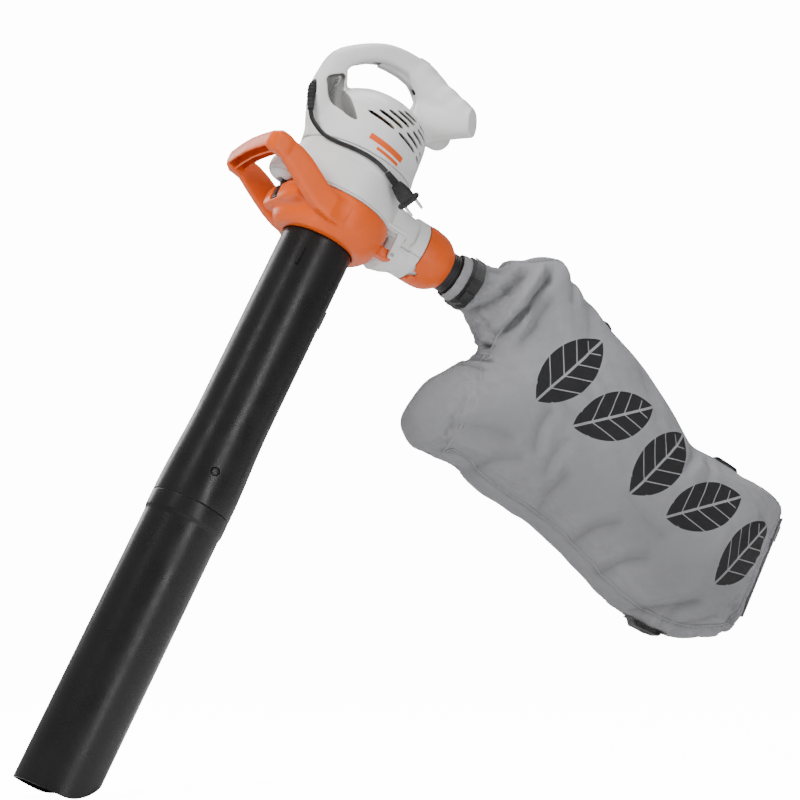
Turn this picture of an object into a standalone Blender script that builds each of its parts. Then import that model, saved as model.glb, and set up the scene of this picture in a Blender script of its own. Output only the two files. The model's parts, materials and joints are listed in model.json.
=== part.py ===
"""Leaf vacuum mulcher: hand-held electric suction unit with collecting bag.

Machine frame (all sizes in millimetres, turned into metres by MM):
  z  fan axis, pointing from the suction tube towards the motor
  x  outlet direction, towards the bag
  y  across the machine; the main handle lies in the plane y = 0
"Near" is the -y side, "far" the +y side, "front" is +x and "rear" is -x.
The whole machine leans by TILT about Y, the way it is carried, and the
world origin lies on the flat rim of the suction mouth.

Helper solids for the boolean modifiers live in the "cutters" collection.
"""
import bpy
import bmesh
import math
from mathutils import Vector, Matrix

for old in list(bpy.data.objects):
    bpy.data.objects.remove(old, do_unlink=True)

# ---------------------------------------------------------------- main dimensions
MM = 0.001
TILT = math.radians(26.6)        # lean of the fan axis from the vertical
GAP = 0.3                        # clearance between touching pieces
SMOOTH_ANGLE = math.radians(35)  # edges sharper than this are shaded sharp
SIDES = ((-1, "near"), (1, "far"))

MOUTH_Z = -930.0                 # flat part of the oblique suction mouth
ORIGIN = Vector((-57.0, 0.0, MOUTH_Z))   # world origin in the machine frame

HINGE_X, HINGE_Y, HINGE_Z = 96.0, -30.0, -6.0    # pivot of the suction tube assembly
HINGE_LINE = ((HINGE_X, -60, HINGE_Z), (HINGE_X, 0, HINGE_Z))   # axis of the hinge holes

HOUSING_Z0 = 27.0                # underside of the fan housing
SPLIT_Z = 30.0                   # joint between the two fan housing shells
HOUSING_Z1 = 100.0               # top of the fan housing
COVER_Z0 = HOUSING_Z1 + GAP      # underside of the motor housing

OUT_Y, OUT_Z = 40.0, 49.0        # outlet axis, parallel to x
TRIGGER_X, TRIGGER_Z = 28.0, 265.0

# ---------------------------------------------------------------- scene and materials
scene = bpy.context.scene
parts = bpy.data.collections.new("leaf_vacuum_mulcher")
cutters = bpy.data.collections.new("cutters")
scene.collection.children.link(parts)
scene.collection.children.link(cutters)


def material(name, colour, roughness, metallic=0.0):
    made = bpy.data.materials.new(name)
    made.use_nodes = True
    shader = made.node_tree.nodes["Principled BSDF"]
    shader.inputs["Base Color"].default_value = (*colour, 1.0)
    shader.inputs["Roughness"].default_value = roughness
    shader.inputs["Metallic"].default_value = metallic
    made.diffuse_color = (*colour, 1.0)
    return made


WHITE = material("housing_white", colour=(0.68, 0.68, 0.66), roughness=0.38)
ORANGE = material("safety_orange", colour=(0.70, 0.14, 0.025), roughness=0.36)
BLACK = material("tube_black", colour=(0.016, 0.015, 0.016), roughness=0.24)
DARK = material("black_plastic", colour=(0.02, 0.02, 0.02), roughness=0.45)
RUBBER = material("black_rubber", colour=(0.015, 0.015, 0.015), roughness=0.7)
STEEL = material("bright_steel", colour=(0.62, 0.62, 0.62), roughness=0.25, metallic=1.0)
LAMINATION = material("lamination_steel", colour=(0.30, 0.30, 0.31), roughness=0.45, metallic=1.0)
COPPER = material("winding_copper", colour=(0.55, 0.24, 0.10), roughness=0.35, metallic=1.0)
CARBON = material("brush_carbon", colour=(0.03, 0.03, 0.03), roughness=0.6)
BRASS = material("brass", colour=(0.65, 0.48, 0.20), roughness=0.3, metallic=1.0)
FABRIC = material("bag_fabric", colour=(0.29, 0.29, 0.32), roughness=0.9)
WEBBING = material("webbing_black", colour=(0.018, 0.018, 0.02), roughness=0.85)

# ---------------------------------------------------------------- frames (empties)


def empty(name, parent, loc, rot=(0, 0, 0)):
    frame = bpy.data.objects.new(name, None)
    frame.empty_display_size = 0.03
    parts.objects.link(frame)
    frame.parent = parent
    frame.location = Vector(loc) * MM
    frame.rotation_euler = rot
    return frame


machine = bpy.data.objects.new("machine_frame", None)
parts.objects.link(machine)
machine.rotation_euler = (0, TILT, 0)
machine.location = -(Matrix.Rotation(TILT, 3, 'Y') @ (ORIGIN * MM))

suction_pivot = empty("suction_pivot", machine, (HINGE_X, 0, HINGE_Z))
# local z runs along the outlet, local x points down (-z of the machine)
outlet_frame = empty("outlet_frame", machine, (0, OUT_Y, OUT_Z), (0, math.pi / 2, 0))
trigger_frame = empty("trigger_pivot", machine, (TRIGGER_X, 0, TRIGGER_Z))

# Shared placing arguments. The tube assembly hangs on its pivot but is
# drawn in machine coordinates, so its pieces are shifted back.
TOOL = dict(cutter=True)
TO_MACHINE = Vector((-HINGE_X, 0, -HINGE_Z))
SUCTION = dict(parent=suction_pivot, loc=TO_MACHINE)
SUCTION_TOOL = dict(**SUCTION, cutter=True)

# ---------------------------------------------------------------- modelling helpers
UPRIGHT = (math.pi / 2, 0, 0)    # outline in x and z, thickness along y
FLAT = (0, 0, 0)                 # outline in x and y, thickness along z


def place(piece, mat=None, parent=None, loc=(0, 0, 0), rot=(0, 0, 0), cutter=False):
    """Link, colour and position a piece; its parent is the machine by default."""
    (cutters if cutter else parts).objects.link(piece)
    if cutter:
        piece.hide_render = True
        piece.display_type = 'WIRE'
    if mat is not None:
        piece.data.materials.append(mat)
    piece.parent = parent or machine
    piece.location = Vector(loc) * MM
    piece.rotation_euler = rot
    return piece


def from_bmesh(name, shell, **placing):
    bmesh.ops.recalc_face_normals(shell, faces=shell.faces)
    mesh = bpy.data.meshes.new(name)
    shell.to_mesh(mesh)
    shell.free()
    mesh.shade_smooth()
    mesh.set_sharp_from_angle(angle=SMOOTH_ANGLE)
    return place(bpy.data.objects.new(name, mesh), **placing)


def box(name, corner_a, corner_b, **placing):
    """Box between two opposite corners of the parent frame, in any order."""
    shell = bmesh.new()
    bmesh.ops.create_cube(shell, size=1.0)
    for i in range(3):
        low, high = sorted((corner_a[i], corner_b[i]))
        for vert in shell.verts:
            vert.co[i] = ((low + high) / 2 + vert.co[i] * (high - low)) * MM
    return from_bmesh(name, shell, **placing)


def rod(name, start, end, radius, segments=20, **placing):
    """Cylinder between two points."""
    start, end = Vector(start), Vector(end)
    axis = end - start
    shell = bmesh.new()
    bmesh.ops.create_cone(shell, cap_ends=True, segments=segments, radius1=radius * MM,
                          radius2=radius * MM, depth=axis.length * MM)
    turn = axis.to_track_quat('Z', 'Y').to_matrix().to_4x4()
    move = Matrix.Translation((start + end) / 2 * MM)
    bmesh.ops.transform(shell, matrix=move @ turn, verts=shell.verts)
    return from_bmesh(name, shell, **placing)


def lathe(name, profile, steps, closed=True, **placing):
    """Turned shape: profile (radius, height) swept about z by a Screw modifier."""
    mesh = bpy.data.meshes.new(name)
    count = len(profile)
    edges = [(i, i + 1) for i in range(count - 1)]
    if closed:
        edges.append((count - 1, 0))
    mesh.from_pydata([(r * MM, 0, z * MM) for r, z in profile], edges, [])
    piece = place(bpy.data.objects.new(name, mesh), **placing)
    screw = piece.modifiers.new("turn", 'SCREW')
    screw.axis = 'Z'
    screw.steps = steps
    screw.render_steps = steps
    screw.use_merge_vertices = True
    screw.merge_threshold = 0.00001
    screw.use_smooth_shade = True
    return piece


def skin(name, loops, **placing):
    """Capped shell over loops of points with equal counts."""
    shell = bmesh.new()
    loops = [[shell.verts.new(Vector(point) * MM) for point in loop] for loop in loops]
    count = len(loops[0])
    for lower, upper in zip(loops, loops[1:]):
        for k in range(count):
            after = (k + 1) % count
            shell.faces.new((lower[k], lower[after], upper[after], upper[k]))
    shell.faces.new(loops[0][::-1])
    shell.faces.new(loops[-1])
    return from_bmesh(name, shell, **placing)


def loft(name, rings, count=20, **placing):
    """Skin over superellipses (centre, half axis u, half axis v, exponent)."""
    def power(value, exponent):
        return math.copysign(abs(value) ** (2 / exponent), value)

    loops = []
    for centre, axis_u, axis_v, exponent in rings:
        centre, axis_u, axis_v = Vector(centre), Vector(axis_u), Vector(axis_v)
        angles = [2 * math.pi * (k + 0.5) / count for k in range(count)]
        loops.append([centre + axis_u * power(math.cos(angle), exponent)
                      + axis_v * power(math.sin(angle), exponent) for angle in angles])
    return skin(name, loops, **placing)


def rings_along_x(stations):
    """Rings square to x from stations (x, y, z, half y, half z, exponent)."""
    return [((x, y, z), (0, half_y, 0), (0, 0, half_z), exponent)
            for x, y, z, half_y, half_z, exponent in stations]


def tangent(points, i):
    """Direction of a path at point i, taken between its neighbours."""
    ahead = Vector(points[min(i + 1, len(points) - 1)])
    behind = Vector(points[max(i - 1, 0)])
    return (ahead - behind).normalized()


def plate(name, outline, half, bevel=0.0, offset=0.0, rot=UPRIGHT, **placing):
    """Flat outline extruded by half its thickness both ways."""
    curve = bpy.data.curves.new(name + "_outline", 'CURVE')
    curve.dimensions = '2D'
    curve.fill_mode = 'BOTH'
    curve.extrude = (half - bevel) * MM
    curve.bevel_depth = bevel * MM
    curve.bevel_resolution = 1
    curve.offset = offset * MM
    curve.resolution_u = 4
    spline = curve.splines.new('POLY')
    spline.points.add(len(outline) - 1)
    for target, point in zip(spline.points, outline):
        target.co = (point[0] * MM, point[1] * MM, 0, 1)
    spline.use_cyclic_u = True
    carrier = bpy.data.objects.new(name + "_curve", curve)
    scene.collection.objects.link(carrier)
    depsgraph = bpy.context.evaluated_depsgraph_get()
    mesh = bpy.data.meshes.new_from_object(carrier.evaluated_get(depsgraph))
    bpy.data.objects.remove(carrier, do_unlink=True)
    shell = bmesh.new()
    shell.from_mesh(mesh)
    bmesh.ops.remove_doubles(shell, verts=shell.verts, dist=0.00002)
    return from_bmesh(name, shell, rot=rot, **placing)


def wire(name, points, radius, mat, rounded=True, bevel_resolution=1, resolution=3):
    """Round cable or bent wire through the points."""
    curve = bpy.data.curves.new(name, 'CURVE')
    curve.dimensions = '3D'
    curve.bevel_depth = radius * MM
    curve.bevel_resolution = bevel_resolution
    curve.use_fill_caps = True
    curve.resolution_u = resolution
    if rounded:
        spline = curve.splines.new('BEZIER')
        spline.bezier_points.add(len(points) - 1)
        for target, point in zip(spline.bezier_points, points):
            target.co = Vector(point) * MM
            target.handle_left_type = target.handle_right_type = 'AUTO'
    else:
        spline = curve.splines.new('POLY')
        spline.points.add(len(points) - 1)
        for target, point in zip(spline.points, points):
            target.co = (*(Vector(point) * MM), 1)
    return place(bpy.data.objects.new(name, curve), mat)


def cut(piece, *tools, operation='DIFFERENCE', solver='EXACT'):
    for tool in tools:
        name = operation.lower() + "_" + tool.name[:40]
        boolean = piece.modifiers.new(name, 'BOOLEAN')
        boolean.operation = operation
        boolean.object = tool
        boolean.solver = solver


def join(piece, *tools, solver='EXACT'):
    cut(piece, *tools, operation='UNION', solver=solver)


def soften(piece, width, segments):
    bevel = piece.modifiers.new("soften", 'BEVEL')
    bevel.width = width * MM
    bevel.segments = segments
    bevel.limit_method = 'ANGLE'
    bevel.angle_limit = math.radians(30)


# ---------------------------------------------------------------- suction tubes
TUBE_R = 55.4                    # upper suction tube, outer radius
TUBE_IN_R = TUBE_R - 2.6
FLARE_R = 60.0                   # flared socket at the lower end of the upper tube
JOINT_Z = -478.0                 # rim of the socket
SPIGOT_TOP_Z = -398.0            # top of the lower tube inside the socket
SPIGOT_R = 55.5
SPIGOT_IN_R = SPIGOT_R - 2.8
LOW_R = 58.2                     # lower suction tube, outer radius
SNAP_ANGLE = math.radians(7.0)   # snap button, turned from -y towards -x
SNAP_DIR = Vector((-math.sin(SNAP_ANGLE), -math.cos(SNAP_ANGLE), 0))
SNAP_AT = Vector((0, 0, -428.0))  # point on the tube axis level with the button
LUG_ANGLE = math.radians(-34)    # tube lug, turned from -y towards -x

UPPER_TUBE = [                   # (radius, z)
    (TUBE_R, -8), (TUBE_R, -340), (56.6, -376), (58.3, -408), (59.5, -438), (FLARE_R, -456),
    (FLARE_R, JOINT_Z + 1.2), (FLARE_R - 0.8, JOINT_Z), (56.1, JOINT_Z), (56.1, -395),
    (TUBE_IN_R, -390), (TUBE_IN_R, -8)]
LOWER_TUBE = [                   # (radius, z)
    (SPIGOT_R - 0.8, SPIGOT_TOP_Z), (SPIGOT_R, SPIGOT_TOP_Z - 2), (SPIGOT_R, JOINT_Z - GAP),
    (FLARE_R - 0.6, JOINT_Z - GAP), (FLARE_R, JOINT_Z - GAP - 1), (FLARE_R, JOINT_Z - 24),
    (LOW_R, JOINT_Z - 30), (LOW_R + 0.6, -975), (LOW_R - 2.4, -975), (LOW_R - 2.8, -512),
    (SPIGOT_IN_R, -500), (SPIGOT_IN_R, SPIGOT_TOP_Z)]
MOUTH_CUT = [                    # (x, z); the mouth is flat at the rear and rises to the front
    (-80, MOUTH_Z), (-4, MOUTH_Z), (8, MOUTH_Z + 1.4), (18, MOUTH_Z + 5), (28, MOUTH_Z + 11),
    (38, MOUTH_Z + 19), (48, MOUTH_Z + 29.5), (60, MOUTH_Z + 44), (80, MOUTH_Z + 70),
    (80, -1010), (-80, -1010)]


def build_upper_tube():
    tube = lathe("upper_suction_tube", UPPER_TUBE, 32, mat=BLACK, **SUCTION)
    window = rod("cut_snap_window", SNAP_AT + SNAP_DIR * 48, SNAP_AT + SNAP_DIR * 66, 6.7, 16,
                 **SUCTION_TOOL)
    groove = box("cut_snap_groove", (-6.9, -58.1, -482), (6.9, -50, -424),
                 rot=(0, 0, -SNAP_ANGLE), **SUCTION_TOOL)
    lug = box("tube_lug", (-2.2, -57.6, -86), (2.2, -53.5, -64),
              rot=(0, 0, LUG_ANGLE), **SUCTION_TOOL)
    join(tube, lug)
    cut(tube, window, groove)


def build_lower_tube():
    tube = lathe("lower_suction_tube", LOWER_TUBE, 32, mat=BLACK, **SUCTION)
    mouth = plate("cut_mouth", MOUTH_CUT, 90, **SUCTION_TOOL)
    hole = rod("cut_snap_hole", SNAP_AT + SNAP_DIR * 46, SNAP_AT + SNAP_DIR * 60, 6.3, 16,
               **SUCTION_TOOL)
    cut(tube, mouth, hole)


def build_snap_button():
    at_button = dict(parent=suction_pivot, loc=TO_MACHINE + SNAP_AT)
    foot = SNAP_DIR * 49.6
    button = rod("snap_button", foot, SNAP_DIR * 57.4, 6.0, 16, mat=BLACK, **at_button)
    join(button, rod("snap_flange", foot, SNAP_DIR * 51.4, 8.0, 16, cutter=True, **at_button))


# ------------------------------------------------- intake ring with bail handle
RING_R = 88.6                    # widest radius of the intake ring
RING_TOP = 26.6
BAIL_X, BAIL_Z = -146, 39        # bar of the bail handle
GROOVE_X, GROOVE_WIDTH, GROOVE_PITCH = -157, 5.5, 9.5    # finger grooves under the bar

RING = [                         # (radius, z)
    (86.6, RING_TOP), (RING_R, 22), (RING_R, 10), (84.5, -12), (77, -27), (67, -35.5), (61, -37),
    (56.0, -37), (56.0, -6), (52.9, -5), (52.9, RING_TOP), (56, RING_TOP), (59.4, 16),
    (59.4, -31), (67, -30), (74.5, -23), (81.3, -11), (85.2, 10), (84.6, RING_TOP)]
RING_CHANNEL = [                 # (radius, z)
    (84.0, 40), (84.0, 4), (80.6, -11), (74, -22.4), (67.0, -29.4), (59.9, -30.4), (59.9, 40)]
BAIL_ARM = [                     # (x, distance from y = 0, z, half z, half y)
    (-8, 76, -5, 17, 10), (-34, 79.3, -2, 20, 12), (-62, 82, 6, 22, 10.5),
    (-92, 84.5, 21, 22.5, 8.2), (-120, 85, 32.5, 19, 7.8), (BAIL_X, 85, BAIL_Z, 15, 7.8)]
BAIL_BAR = [                     # (y, x and z from the bar axis, half x, half z)
    (-92.5, 3, 0, 10, 11), (-88, 0.5, 0, 15, 15.5), (-40, -3, 2, 15.5, 15.5),
    (40, -3, 2, 15.5, 15.5), (88, 0.5, 0, 15, 15.5), (92.5, 3, 0, 10, 11)]
BAIL_SKIRT = [                   # (x, y, z, half y, half z, exponent)
    (-70, 0, 1, 62, 19, 5.0), (-84, 0, 3, 64, 17, 5.0), (-91.5, 0, 6, 58, 12, 4.0)]
HINGE_LUG = [                    # (x, y, z, half y, half z, exponent)
    (76, HINGE_Y, -4, 12.6, 9, 6.0), (92, HINGE_Y, -6, 12.6, 8, 6.0),
    (101.5, HINGE_Y, -6, 12.6, 6, 4.0)]


def bail_arm(side, label):
    rings = [((x, side * y, z), (0, 0, half_z), (0, half_y, 0), 4.0)
             for x, y, z, half_z, half_y in BAIL_ARM]
    return loft("bail_arm_" + label, rings, 12, **SUCTION_TOOL)


def bail_bar():
    rings = [((BAIL_X + dx, y, BAIL_Z + dz), (half_x, 0, 0), (0, 0, half_z), 3.0)
             for y, dx, dz, half_x, half_z in BAIL_BAR]
    return loft("bail_bar", rings, 12, **SUCTION_TOOL)


def grip_groove(k):
    x = GROOVE_X + GROOVE_PITCH * k
    return box("cut_grip_groove_%d" % k, (x, -64, 18), (x + GROOVE_WIDTH, 64, 29.5),
               **SUCTION_TOOL)


def build_intake_ring():
    ring = lathe("intake_ring_with_bail", RING, 32, mat=ORANGE, **SUCTION)
    skirt = loft("bail_skirt", rings_along_x(BAIL_SKIRT), 20, **SUCTION_TOOL)
    channel = lathe("cut_ring_channel", RING_CHANNEL, 32, **SUCTION_TOOL)
    lug = loft("ring_hinge_lug", rings_along_x(HINGE_LUG), 16, **SUCTION_TOOL)
    lug_hole = rod("cut_lug_hole", *HINGE_LINE, 3.3, 20, **SUCTION_TOOL)
    window = box("cut_latch_window", (-104, -14, -9), (-80, 14, 19.5), **SUCTION_TOOL)
    notch = box("cut_latch_notch", (-104, -9.5, 15), (-80, 9.5, 40), **SUCTION_TOOL)
    join(ring, skirt, *[bail_arm(*side) for side in SIDES], bail_bar())
    cut(ring, channel)
    join(ring, lug)
    cut(ring, lug_hole, window, notch, *[grip_groove(k) for k in range(2)])


def build_tube_latch():
    latch = box("tube_latch", (-93.0, -12.5, -7.5), (-84.4, 12.5, 14.5), mat=DARK, **SUCTION)
    join(latch, box("latch_tongue", (-91.6, -7, 12), (-86.6, 7, 29), **SUCTION_TOOL))
    cut(latch, box("cut_latch_grip", (-95, -9, -2), (-91.4, 9, 1.5), **SUCTION_TOOL))


def build_hinge_pin():
    rod("hinge_pin", (0, -51.5, 0), (0, -9.5, 0), 2.9, 20, mat=STEEL, loc=(HINGE_X, 0, HINGE_Z))


# ---------------------------------------------------------------- fan housing
WALL = 3.0
SCROLL_R0 = 86.5                 # scroll radius at the cut-off
SCROLL_GROWTH = 7.5              # growth over three quarters of a turn
SCROLL_POINTS = 40
GROWTH_END = math.radians(270)
INTAKE_R = 52.9
EAR_OFFSET = 17.3                # hinge ears, each side of HINGE_Y
DUCT_R = 40.5
DUCT_END = 186.0

OUTER_LEVELS = [                 # (z, inset from the scroll)
    (HOUSING_Z0, 1.0), (HOUSING_Z0 + 1.5, 0), (80, 0), (90, 1.6), (96, 4.5), (HOUSING_Z1, 10)]
INNER_LEVELS = [(SPLIT_Z + 0.02, WALL), (82, 3.2), (93, 7), (97, 11.5)]
DUCT = [                         # (x, y, z, half y, half z, exponent)
    (30, 46, 64.5, 46, 34, 6.0), (86, 46, 64.5, 47.6, 34.8, 5.0), (92, 45.4, 56, 48, 41, 4.0),
    (98, 44.6, 46.5, 48, 49, 3.2), (108, 43.4, 43, 47.6, 51, 2.8),
    (126, 42, 44.5, 45.2, 48, 2.5), (144, 40.5, 48, 42.3, 43.2, 2.15),
    (153, OUT_Y, OUT_Z, DUCT_R, DUCT_R, 2.0)]
FAN_BOSS = [                     # (x, y, z, half y, half z, exponent)
    (-80, 0, 44, 30, 22, 3.5), (-98, 0, 42, 27, 21, 3.0), (-112, 0, 41, 22, 18, 2.6),
    (-120, 0, 40, 14, 11, 2.3)]
EAR = [                          # (x, z)
    (68, 27), (90.5, 27), (90.5, -9), (93, -12), (99, -12), (102, -8), (104, 20), (104, 38),
    (68, 38)]


def scroll(name, levels, **placing):
    """Snail-shell body, running clockwise seen from the motor."""
    loops = []
    for z, inset in levels:
        loop = []
        for k in range(SCROLL_POINTS):
            angle = 2 * math.pi * k / SCROLL_POINTS
            radius = SCROLL_R0 + SCROLL_GROWTH * min(angle / GROWTH_END, 1.0)
            if angle > GROWTH_END:       # last quarter returns to the cut-off
                radius -= SCROLL_GROWTH * (angle - GROWTH_END) / math.radians(90)
            radius -= inset
            loop.append((radius * math.cos(angle), -radius * math.sin(angle), z))
        loops.append(loop)
    return skin(name, loops, **placing)


def duct(name, grow, shift, x_end):
    """Outlet duct; shift moves its stations 1 to 4 towards the outlet."""
    stations = []
    for i, (x, y, z, half_y, half_z, exponent) in enumerate(
            DUCT + [(x_end, OUT_Y, OUT_Z, DUCT_R, DUCT_R, 2.0)]):
        x += shift if 0 < i < 5 else 0
        stations.append((x, y, z, half_y + grow, half_z + grow, exponent))
    return loft(name, rings_along_x(stations), 20, **TOOL)


def build_fan_housing():
    """Upper and lower shell, both cut from the same body."""
    boss = loft("fan_boss", rings_along_x(FAN_BOSS), 24, **TOOL)
    ears = [plate("hinge_ear_" + letter, EAR, 3.6, loc=(0, HINGE_Y + offset, 0), **TOOL)
            for letter, offset in (("a", -EAR_OFFSET), ("b", EAR_OFFSET))]
    scroll_inside = scroll("cut_scroll_inside", INNER_LEVELS, **TOOL)
    duct_outside = duct("duct_outside", grow=0.0, shift=0.0, x_end=DUCT_END)
    duct_inside = duct("cut_duct_inside", grow=-WALL, shift=3.2, x_end=DUCT_END + 10)
    boss_pocket = box("cut_boss_pocket", (-113, -13, 10), (-99, 13, 48), **TOOL)
    latch_slot = box("cut_latch_slot", (-99.5, -8, 10), (-86.0, 8, 31), **TOOL)

    def shell(name):
        body = scroll(name, OUTER_LEVELS, mat=WHITE)
        join(body, duct_outside, boss, *ears)
        cut(body, scroll_inside, duct_inside)
        return body

    upper = shell("fan_housing_upper")
    join(upper, rod("bearing_collar", (0, 0, 96), (0, 0, 105), 15, 20, **TOOL))
    shaft_way = rod("cut_shaft_way", (0, 0, 80), (0, 0, 120), 11.4, 20, **TOOL)
    below = box("cut_below_split", (-200, -200, -60), (260, 200, SPLIT_Z + GAP), **TOOL)
    cut(upper, shaft_way, boss_pocket, latch_slot, below)

    lower = shell("fan_housing_lower")
    intake = rod("cut_intake", (0, 0, 10), (0, 0, 45), INTAKE_R, 32, **TOOL)
    ring_room = rod("cut_ring_room", (0, 0, 0), (0, 0, HOUSING_Z0 - 0.05), 89.3, 48, **TOOL)
    ear_hole = rod("cut_ear_hole", *HINGE_LINE, 3.2, 20, **TOOL)
    above = box("cut_above_split", (-200, -200, SPLIT_Z), (260, 200, 160), **TOOL)
    cut(lower, intake, ring_room, ear_hole, boss_pocket, latch_slot, above)


# ---------------------------------------------------------------- motor housing
SHELL = 3.4                      # wall of the handle and the side arms
SCREWS = [(-98, 222), (-104, 150), (62, 250)]    # (x, z) of the screws joining the halves
PIN_SEAT_DEPTH = 12.3            # trigger pin seat, from y = 0
ARM_END = (121, 60, 239)         # tip of the far arm; the near arm mirrors it
ARM_DIR = Vector((57, 60, 21)).normalized()

HANDLE = [                       # (x, z, half width in the plane y = 0, half depth in y)
    (-84, 122, 24, 20), (-91, 148, 29, 23), (-95, 178, 28, 22), (-95, 205, 26, 21),
    (-91, 230, 24, 20), (-78, 254, 21, 19.5), (-56, 271, 18, 19), (-33, 281, 18.5, 18.5),
    (-8, 285.5, 19.5, 18.5), (20, 285.5, 21, 19), (42, 280, 24.5, 20), (58, 266, 26, 21),
    (66, 245, 24, 22), (67, 221, 24, 23), (60, 196, 22, 21)]
DOME_OUT = [                     # (radius, z)
    (0, 231), (18, 230), (40, 226.5), (60, 218.5), (74, 207), (82.5, 192), (86, 172),
    (87, 146), (88.5, 122), (90.5, 108), (91, COVER_Z0), (0, COVER_Z0)]
DOME_IN = [                      # (radius, z)
    (0, 227.6), (30, 225), (57, 216), (70.5, 205), (79.0, 191), (82.6, 172), (84.6, 122),
    (87.0, 90), (0, 90)]
ARM_OUT = [                      # (distance back from the tip, radius)
    (84, 26.5), (56, 25), (26, 23.5), (3.0, 22.8), (0.8, 22.0), (0, 20.5)]
ARM_IN = ARM_OUT[:3] + [(3.2, 22.8)]
POCKET = [                       # (x, z) before the points are moved onto the slope
    (-106, 203), (-84, 214), (-80, 196), (-66, 174), (-44, 156), (-52, 152), (-76, 158),
    (-92, 168), (-101, 182)]
BOOT = [                         # cable boot: (x, y, z, half width, half height)
    (-104, -2, 184, 4.6, 4.6), (-109, -3, 183, 4.6, 4.6), (-114, -5, 179, 6.6, 6.0),
    (-116.5, -8, 171, 7.2, 6.6), (-115.5, -13, 158, 6.6, 6.2), (-112, -17.5, 145, 6.0, 5.8),
    (-107.5, -21.5, 132.5, 5.2, 5.2)]
# cooling slots around the dome, angles in degrees from the y axis towards +x:
# (start angle, start z, end angle, end z, dashes of the near side as fractions of the row)
SLOT_ROWS = [(-30, 160, 57, 139, ((0.00, 0.37), (0.43, 0.78), (0.83, 1.0))),
             (-20, 168, 57, 150, ((0.00, 0.40), (0.47, 0.80), (0.86, 1.0))),
             (-11, 175.5, 57, 161, ((0.00, 0.42), (0.50, 0.86))),
             (-2, 182.5, 57, 173, ((0.00, 0.44), (0.53, 0.93))),
             (6, 189, 54, 185, ((0.00, 0.46), (0.56, 1.0)))]
FAR_DASHES = ((0.0, 0.46), (0.54, 1.0))
SLOT_DEPTH, SLOT_HEIGHT = 26, 4.0


def handle_rings(shrink=0.0, lift=0.0):
    """Rings of the handle; lift moves the first one up the rear leg."""
    path = [(x, 0, z) for x, z, *_ in HANDLE]
    rings = []
    for i, (*_, half_width, half_depth) in enumerate(HANDLE):
        along = tangent(path, i)
        across = Vector((-along.z, 0, along.x))
        centre = Vector(path[i]) + along * (lift if i == 0 else 0.0)
        rings.append((centre, across * (half_width - shrink), (0, half_depth - shrink, 0), 2.5))
    return rings


def arm_rings(side, rows, shrink=0.0):
    """Rings of an arm that reaches out of the dome, up and forwards."""
    along = Vector((ARM_DIR.x, side * ARM_DIR.y, ARM_DIR.z))
    across = along.cross(Vector((0, 0, 1))).normalized()
    up = across.cross(along).normalized()
    end = Vector((ARM_END[0], side * ARM_END[1], ARM_END[2]))
    return [(end - along * back, across * (radius - shrink), up * (radius - shrink), 2.2)
            for back, radius in rows]


def swept_rings(rows, grow=0.0, overrun=(0.0, 0.0)):
    """Rings square to a path; overrun lengthens its start and end."""
    path = [row[:3] for row in rows]
    shifts = {0: -overrun[0], len(rows) - 1: overrun[1]}
    rings = []
    for i, (*_, half_width, half_height) in enumerate(rows):
        along = tangent(path, i)
        across = along.cross(Vector((0, 1, 0))).normalized()
        rings.append((Vector(path[i]) + along * shifts.get(i, 0.0),
                      across * (half_width + grow),
                      across.cross(along) * (half_height + grow), 2.2))
    return rings


def pocket_sheet(name, grow, lift):
    """Pocket outline flattened onto a slope that falls towards +x.

    Every point takes its height from its x, so this is a sheet without
    volume; it lies below the motor housing.
    """
    sheet = plate(name, POCKET, 50, offset=grow, loc=(0, -50, 0), **TOOL)
    for vert in sheet.data.vertices:
        vert.co.y = (40 - 0.75 * (vert.co.x / MM + 106) + lift) * MM
    return sheet


def slots(side, label):
    """All slot boxes of one side in one mesh, tangent to the dome."""
    shell = bmesh.new()
    for angle_a, z_a, angle_b, z_b, near_dashes in SLOT_ROWS:
        for start, end in (near_dashes if side < 0 else FAR_DASHES):
            middle = (start + end) / 2
            angle = math.radians(angle_a + (angle_b - angle_a) * middle)
            z = z_a + (z_b - z_a) * middle
            radius = 85.0 if z < 178 else 82.5
            length = radius * math.radians((angle_b - angle_a) * (end - start))
            slope = math.atan2((z_b - z_a) * (end - start), length)
            size = Vector((length * MM, SLOT_DEPTH * MM, SLOT_HEIGHT * MM, 1))
            cube = bmesh.ops.create_cube(shell, size=1.0)
            matrix = (Matrix.Rotation(-side * angle, 4, 'Z')
                      @ Matrix.Translation(Vector((0, side * radius, z)) * MM)
                      @ Matrix.Rotation(-slope, 4, 'Y')
                      @ Matrix.Diagonal(size))
            bmesh.ops.transform(shell, matrix=matrix, verts=cube['verts'])
    return from_bmesh("cut_slots_" + label, shell, **TOOL)


def supports(side, label):
    """Screw bosses, ribs that carry the field stack, shelves under the bearing bridge."""
    made = [rod("boss_%s_%d" % (label, i), (x, side * 0.8, z), (x, side * 19, z), 5.0, 10, **TOOL)
            for i, (x, z) in enumerate(SCREWS)]
    made.append(box("rib_%s_side" % label, (-3, side * 46.3, 130), (3, side * 86, 168), **TOOL))
    for end, place_name in ((-1, "rear"), (1, "front")):
        made.append(box("rib_%s_%s" % (label, place_name), (end * 44.3, side * 17, 130),
                        (end * 86, side * 24, 168), **TOOL))
        made.append(box("shelf_%s_%s" % (label, place_name), (end * 54, side * 0.8, 191),
                        (end * 80, side * 10, 197.6), **TOOL))
    return made


def screw_holes(name, y_start, y_end, radius, segments):
    return [rod("%s_%d" % (name, i), (x, y_start, z), (x, y_end, z), radius, segments, **TOOL)
            for i, (x, z) in enumerate(SCREWS)]


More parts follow.
